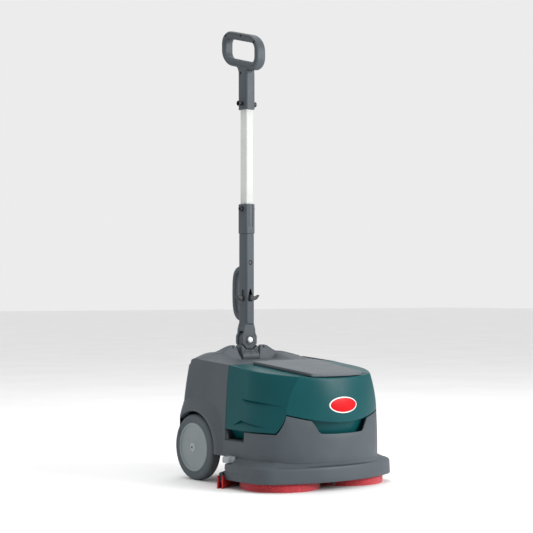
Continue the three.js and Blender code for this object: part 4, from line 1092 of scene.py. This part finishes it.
def fork_plate(name, y0, y1):
    """One cheek of the fork: an eight-sided boss that narrows upwards to the post."""
    reach = BOSS * math.cos(math.pi / 8)
    span = BOSS * math.sin(math.pi / 8)
    corners = [(reach, TILT_Z - span, 2), (reach, TILT_Z + span, 2), (18.4, 356, 2), (17.5, 366, 3),
               (MAST_X, 382, 3), (-MAST_X, 382, 3), (-17.5, 366, 3), (-18.4, 356, 2),
               (-reach, TILT_Z + span, 2), (-reach, TILT_Z - span, 2), (-span, TILT_Z - reach, 3),
               (span, TILT_Z - reach, 3)]
    return facing(name, corners, y0, y1, edge=1.3)


HANDLE_PATH = [(276, 520.5), (285, 520.4), (297, 516), (305.5, 507), (309.6, 492), (310.8, 470),
               (310.8, 446), (309.2, 425), (304, 407), (294, 396.5), (284, 393), (276, 392.4)]


def carry_handle():
    """A bar bent into a D behind the post."""
    path = [Vector(knot) for knot in HANDLE_PATH]
    smooth = [spline(path, quarter / 4) for quarter in range(4 * (len(path) - 1))] + [path[-1]]
    section = rounded(both_sides([(9, -6.4, 4.5), (9, 6.4, 4.5)]), steps=5)
    rings = []
    for i, point in enumerate(smooth):
        along = (smooth[min(i + 1, len(smooth) - 1)] - smooth[max(i - 1, 0)]).normalized()
        out = Vector((-along.y, along.x))
        rings.append([(x, point.x + out.x * off, point.y + out.y * off) for x, off in section])
    return stack("handle", rings)


def post_tools():
    """Cutters for the post: bore, lever bay, windows, screw seat, rod way, pivot hole and surface lines."""
    window = both_sides([(6, 437, 1), (6, 455, 1), (1.8, 468, 1.5)])
    tools = [stack("bore", [tube_ring(0.6, 482), tube_ring(0.6, 620)]),
             stack("bay", [tube_ring(0.6, 390), tube_ring(0.6, 478)]),
             box(-40, 40, 258, 268, 437, 466),
             facing("opening", window, 230, MAST_Y),
             rod("screw_seat", 5.9, 230, 252.4, (0, 0, 535), "Y"),
             rod("rod_way", 3.6, 350, 400, (0, MAST_Y, 0)),
             rod("hole", 4.3, 230, 300, TILT, "Y"),
             lathe("moat", [(7.9, 240), (9.9, 240), (9.9, 252.8), (7.9, 252.8)], TILT, "Y", 56)]
    for x, z, far_z in [(17.5, 347, 355), (15.5, 334, 325)]:
        tools += [line_tool(side * x, z, side * 11, far_z, 1.2, 240, 252.2) for side in (-1, 1)]
    return tools


def mast_post():
    """The lower mast: fork, flare, square post and carrying handle, hollow for the tube and the lever."""
    levels = [(17.5, 13.8, 13.8, 361.5, 3), (17.5, 13.8, 13.8, 366, 3), (14.8, 13.8, 16.3, 373.5, 4),
              (13.6, 13.9, 16.3, 377.4), (MAST_X, 16.3, 16.3, 381.4), (MAST_X, 16.3, 16.3, 607.4),
              (MAST_X - 0.5, 15.8, 15.8, 608)]
    post = stack("lower_mast", [mast_ring(*level) for level in levels], angle=24)
    plates = [fork_plate("plate", 251.2, 257.1), fork_plate("plate", 272.9, 281.3)]
    ring_profile = [(9.9, 250.2), (10.6, 249.6), (12.2, 249.6), (12.9, 250.3), (12.9, 252), (9.9, 252)]
    ring = lathe("ring", ring_profile, TILT, "Y", 56)
    solid = join(post, *plates, ring, carry_handle())
    return cut(solid, *post_tools(), angle=28)


def mast_collar():
    """The sleeve on top of the post that holds the tube, with two slits down its front."""
    grown = [(0.0, 608.5), (1.0, 608.9), (1.4, 609.6), (1.4, 682.8), (1.1, 683.6), (0.5, 684)]
    rings = [mast_ring(MAST_X + g, MAST_DEPTH + g, MAST_DEPTH + g, z, 5.5, 3.5) for g, z in grown]
    rings += [tube_ring(0.7, 684), tube_ring(0.6, 683), tube_ring(0.6, 608.5)]
    collar = hoop("clamp_collar", rings, angle=24)
    slits = [box(x, x + 1.5, 230, MAST_Y - 10, 626, 700) for x in (-6.5, 5)]
    return cut(collar, *slits, rod("screw_way", 3.4, -40, 40, (0, 265.5, 672), "X", 24), angle=28)


def white_tube():
    outer = [(-0.4, 590), (0, 590.6), (0, 984.4), (-0.4, 985)]
    rings = [tube_ring(g, z) for g, z in outer] + [tube_ring(-1.6, 985), tube_ring(-1.6, 590)]
    return cut(hoop("white_tube", rings), rod("bolt_way", 3.3, -40, 40, GRIP_BOLT, "X", 24))


WING = [(-1, 438.4, 0), (20, 438.4, 3), (29, 441.5, 4), (35.4, 448.6, 2), (37.4, 451.4, 0.6),
        (34, 453.2, 0.8), (27, 449.8, 3), (18, 449.8, 3), (-1, 449.8, 0)]
THUMB = both_sides([(5.4, 438.2, 3), (5.4, 446, 2), (2.6, 453.4, 1.6)])


def release_lever():
    """Two hooked wings, a pointed thumb tab, the catch rod, and the plates that fill the post's windows."""
    opposite = [(-x, z, r) for x, z, r in reversed(WING)]
    wings = [facing(name, outline, 259, 267, edge=1.4) for name,
             outline in (("lift_lever", WING), ("wing", opposite))]
    thumb = facing("thumb", THUMB, 241.4, 269, edge=2.2)
    shutters = [box(*flank(side, 10.1, 11.1), 256.5, 270, 429, 469.5) for side in (-1, 1)]
    back = box(-10.4, 10.4, 268.6, 269.8, 429, 469.5)
    return join(*wings, thumb, *shutters, back, rod("catch_rod", 3, 364, 442, (0, MAST_Y, 0)))


# ---- grip
GRIP_Y, GRIP_Z, GRIP_RISE = 280.0, 1078.6, 0.25
GRIP_SIZE, WINDOW_SIZE = (77.6, 45.0, 38.0), (62.5, 24.5, 15.0)
GRIP_HALF_WIDTH = 14.0
# Half the loop's section as (share outwards, share sideways): a groove runs round the side face, and a
# shallow parting line runs round the outside and the inside.
GRIP_SECTION = [
    (0.985, 0.0), (1.0, 0.03), (1.0, 0.34), (0.975, 0.58), (0.9, 0.8), (0.76, 0.93), (0.6, 0.98),
    (0.48, 1.0), (0.45, 0.99), (0.42, 0.93), (0.38, 0.93), (0.35, 0.99), (0.3, 1.0), (0.0, 1.0),
    (-0.35, 0.985), (-0.62, 0.94), (-0.83, 0.82), (-0.95, 0.62), (-1.0, 0.36), (-1.0, 0.03),
    (-0.985, 0.0)]


def on_rounded_box(angle, half_x, half_y, corner):
    """Distance from the centre to a rounded rectangle's edge at an angle."""
    low, high = 0.0, half_x + half_y
    for _ in range(40):
        reach = (low + high) / 2
        u = max(abs(reach * math.cos(angle)) - half_x + corner, 0.0)
        v = max(abs(reach * math.sin(angle)) - half_y + corner, 0.0)
        if math.hypot(u, v) > corner or (u == 0 and v > corner) or (v == 0 and u > corner):
            high = reach
        else:
            low = reach
    return low


def grip_point(angle, size):
    """A point (y, z) on the grip's outer or inner outline."""
    reach = on_rounded_box(angle, *size)
    u, v = reach * math.cos(angle), reach * math.sin(angle)
    return Vector((GRIP_Y + u, GRIP_Z + v + GRIP_RISE * u))


def grip_loop():
    """The closed handle, whose section follows the two outlines round."""
    profile = GRIP_SECTION + [(u, -v) for u, v in reversed(GRIP_SECTION[1:-1])]
    sections = []
    count = 96
    for k in range(count):
        angle = 2 * math.pi * k / count
        outer, inner = grip_point(angle, GRIP_SIZE), grip_point(angle, WINDOW_SIZE)
        middle, half = (outer + inner) / 2, (outer - inner) / 2
        sections.append([(GRIP_HALF_WIDTH * v, middle.x + half.x * u, middle.y + half.y * u) for u,
                         v in profile])
    return hoop("grip", sections, angle=30)


GRIP_SCREW_ANGLES = [2.72, 1.75, 0.5]


def grip():
    """The moulded loop and the sleeve that grows out of it, hollow where the tube goes in."""
    levels = [(0.6, 16.9, 16.9, 925, 6, 4), (1.4, 17.7, 17.7, 926, 6, 4), (1.4, 17.7, 17.7, 1010, 6, 4),
              (0.8, 17.5, 19.5, 1026, 6, 5), (-0.6, 16.5, 26, 1040, 6, 6)]
    sleeve = stack("sleeve", [mast_ring(MAST_X + grow, *rest) for grow, *rest in levels], angle=24)
    fillet_outline = [(270, 990), (281.5, 996), (283.6, 1008), (286, 1019), (290.5, 1030), (298, 1040.5),
                      (308, 1049), (312, 1051), (270, 1038)]
    fillet = slab("fillet", fillet_outline, -10.5, 10.5, axis="X", edge=3)
    tools = [stack("bore", [tube_ring(0.3, 900), tube_ring(0.3, 986)]),
             rod("bolt_way", 3.4, -40, 40, GRIP_BOLT, "X", 24)]
    tools += [rod("seat", 3.7, -16, -11, (0, y, z), "X", 28) for y, z in screw_places()]
    return cut(join(grip_loop(), sleeve, fillet, angle=30), *tools, angle=30)


def screw_places():
    """Places (y, z) of the grip's screws: three on the loop and one on the sleeve."""
    places = []
    for angle in GRIP_SCREW_ANGLES:
        inner, outer = grip_point(angle, WINDOW_SIZE), grip_point(angle, GRIP_SIZE)
        places.append(tuple(inner.lerp(outer, 0.66)))
    return places + [(272.5, 1019)]


def grip_screws():
    """Screw heads with a socket, sunk in the right side."""
    profile = [(0, -11.6), (1.2, -11.6), (1.4, -12.2), (2.9, -12.2), (3.2, -11.8), (3.2, -10.6), (0, -10.6)]
    first, *others = [lathe("grip_screws", profile, (0, y, z), "X", 28) for y, z in screw_places()]
    return join(first, *others)


def grip_bolt():
    """The cross bolt, whose hollow knobs stand out from both sides of the sleeve."""
    side = MAST_X + 1.5
    end = side + 13.4
    knob = [(0, end - 4), (4.9, end - 4), (5.4, end), (6.2, end), (6.8, end - 0.8), (6.7, end - 4.4),
            (5.6, end - 7.5), (4.6, side), (3.1, side)]
    right = [(radius, -along) for radius, along in knob]
    return lathe("grip_bolt", right + knob[::-1], GRIP_BOLT, "X", 40)


def pivot_cap():
    """A white domed cap with a cross recess."""
    profile = [(0, 245.6), (3, 245.7), (5.4, 246.4), (7.0, 247.8), (7.6, 249.4), (7.7, 250.9), (0, 250.9)]
    dome = lathe("pivot_cover", profile, TILT, "Y", 56)
    strokes = [(-3.6, TILT_Z, 3.6, TILT_Z), (0, TILT_Z - 3.6, 0, TILT_Z + 3.6)]
    return cut(dome, *[line_tool(*stroke, 1.3, 240, 246.8) for stroke in strokes], angle=40)


# ---- assembly
def build_body():
    wall = lower_body()
    rocker_way = box(-84, -56, 275, 320, 188, 212)
    socket_way = rod("socket_way", 12.3, 275, 320, (70, 0, 200), "Y")
    cut(wall, rocker_way, socket_way, angle=24)
    finish_piece(wall, "chassis", "body_grey", "chassis_shell")
    for side in (-1, 1):
        for label, profile, slot in (("arch_lip", fender_profile, "body_grey"),
                                     ("well", liner_profile, "dark_plastic")):
            finish_piece(arch_sector(f"wheel_{label}_{side_name(side)}", profile, side), "chassis", slot)
        finish_piece(well_wall(side), "chassis", "dark_plastic")
    for piece in body_floor():
        finish_piece(piece, "chassis", "dark_plastic")
    finish_piece(rear_cover(), "chassis", "body_grey", "rear_cover")
    finish_piece(skirt(), "chassis", "body_grey", "brush_deck")


def build_tank():
    finish_piece(tank_shell(), "tank", "tank_teal", "tank_shell")
    finish_piece(badge_plate(), "tank", "badge_red", "front_badge")
    finish_piece(badge_rim(), "tank", "white_plastic")
    finish_piece(lid_piece(), "lid", "lid_grey", "lid")


def build_running_gear():
    for side in (-1, 1):
        name = side_name(side)
        finish_piece(tyre(side), f"wheel_{name}", "tyre", f"tyre_{name}")
        finish_piece(hub(side), f"wheel_{name}", "hub_grey", f"wheel_hub_{name}")
        finish_piece(pad(side), f"pad_{name}", "pad_red", f"scrub_pad_{name}")
        finish_piece(knob(side), f"knob_{name}", "pale_plastic", f"squeegee_knob_{name}")
    finish_piece(squeegee_holder(), "squeegee", "dark_plastic", "squeegee_holder")
    finish_piece(blade("blade_front", -7.3, -4.3), "squeegee", "squeegee_red", "squeegee_blade_front")
    finish_piece(blade("blade_rear", 4.3, 7.3), "squeegee", "squeegee_red", "squeegee_blade_rear")


def build_mast():
    finish_piece(mast_yoke(), "mast_base", "body_grey", "mast_yoke")
    finish_piece(mast_post(), "post", "body_grey", "mast_post")
    finish_piece(mast_collar(), "post", "body_grey", "mast_collar")
    finish_piece(pivot_cap(), "post", "white_plastic", "pivot_cap")
    finish_piece(release_lever(), "lever", "black_plastic", "release_lever")
    finish_piece(white_tube(), "tube", "tube_white", "mast_tube")
    finish_piece(grip(), "tube", "body_grey", "grip_half_right", "grip_half_left")
    finish_piece(grip_screws(), "tube", "black_steel")
    finish_piece(grip_bolt(), "tube", "black_steel", "grip_bolt", "grip_nut")


def dress_carried_nodes():
    """Every CAD node that is still shown takes the skin of its slot."""
    for entry in frame["record"]["subparts"]:
        node = frame["nodes"][entry["node"]]
        node.data.materials.clear()
        node.data.materials.append(SKINS[entry["material_slot"]])


# ---- stage
def stage_material(name, low, high, roughness):
    made, tree, surface = shader(name, high, roughness, specular=0.2)
    tree.links.new(ramp(tree, noise(tree, 2.5, 3), [(0.3, low), (0.7, high)]), surface.inputs["Base Color"])
    bump(tree, surface, noise(tree, 300, 2), 0.05, 0.0002)
    return made


def studio_floor():
    mesh = bpy.data.meshes.new("studio_floor")
    mesh.from_pydata([(-30, -30, 0), (30, -30, 0), (30, 30, 0), (-30, 30, 0)], [], [(0, 1, 2, 3)])
    floor = bpy.data.objects.new("studio_floor", mesh)
    bpy.context.scene.collection.objects.link(floor)
    mesh.materials.append(stage_material("pale_studio_floor", (0.86, 0.86, 0.86), (0.9, 0.9, 0.9), 0.8))
    return floor


def soft_light(name, location, target, size, power, color=(1, 1, 1)):
    data = bpy.data.lights.new(name, "AREA")
    data.shape = "RECTANGLE"
    data.size, data.size_y = size
    data.energy = power
    data.color = color
    lamp = bpy.data.objects.new(name, data)
    lamp.location = location
    lamp.rotation_euler = (Vector(target) - Vector(location)).to_track_quat("-Z", "Y").to_euler()
    bpy.context.scene.collection.objects.link(lamp)
    return lamp


def studio_world():
    world = bpy.data.worlds.new("studio")
    world.use_nodes = True
    background = world.node_tree.nodes["Background"]
    background.inputs["Color"].default_value = (1, 1, 1, 1)
    background.inputs["Strength"].default_value = 0.84
    bpy.context.scene.world = world
    bpy.context.scene.view_settings.view_transform = "Standard"


def studio_camera():
    data = bpy.data.cameras.new("photo_view")
    data.lens, data.sensor_width = 96.8, 36
    data.clip_start, data.clip_end = 0.05, 200
    camera = bpy.data.objects.new("photo_view", data)
    camera.location = (-2.165, -2.7923, 0.457)
    camera.rotation_euler = [math.radians(angle) for angle in (91.07, 0, -37.17)]
    bpy.context.scene.collection.objects.link(camera)
    bpy.context.scene.camera = camera
    return camera


def build_stage():
    studio_world()
    centre = (0, 0, 0.4)
    studio_floor()
    studio_camera()
    soft_light("front_light", (2.0, -3.2, 1.7), centre, (1.8, 1.8), 140)
    soft_light("top_light", (0.2, 0.6, 3.4), centre, (2.4, 2.4), 45)


dress_carried_nodes()
build_body()
build_tank()
build_running_gear()
build_mast()
build_stage()
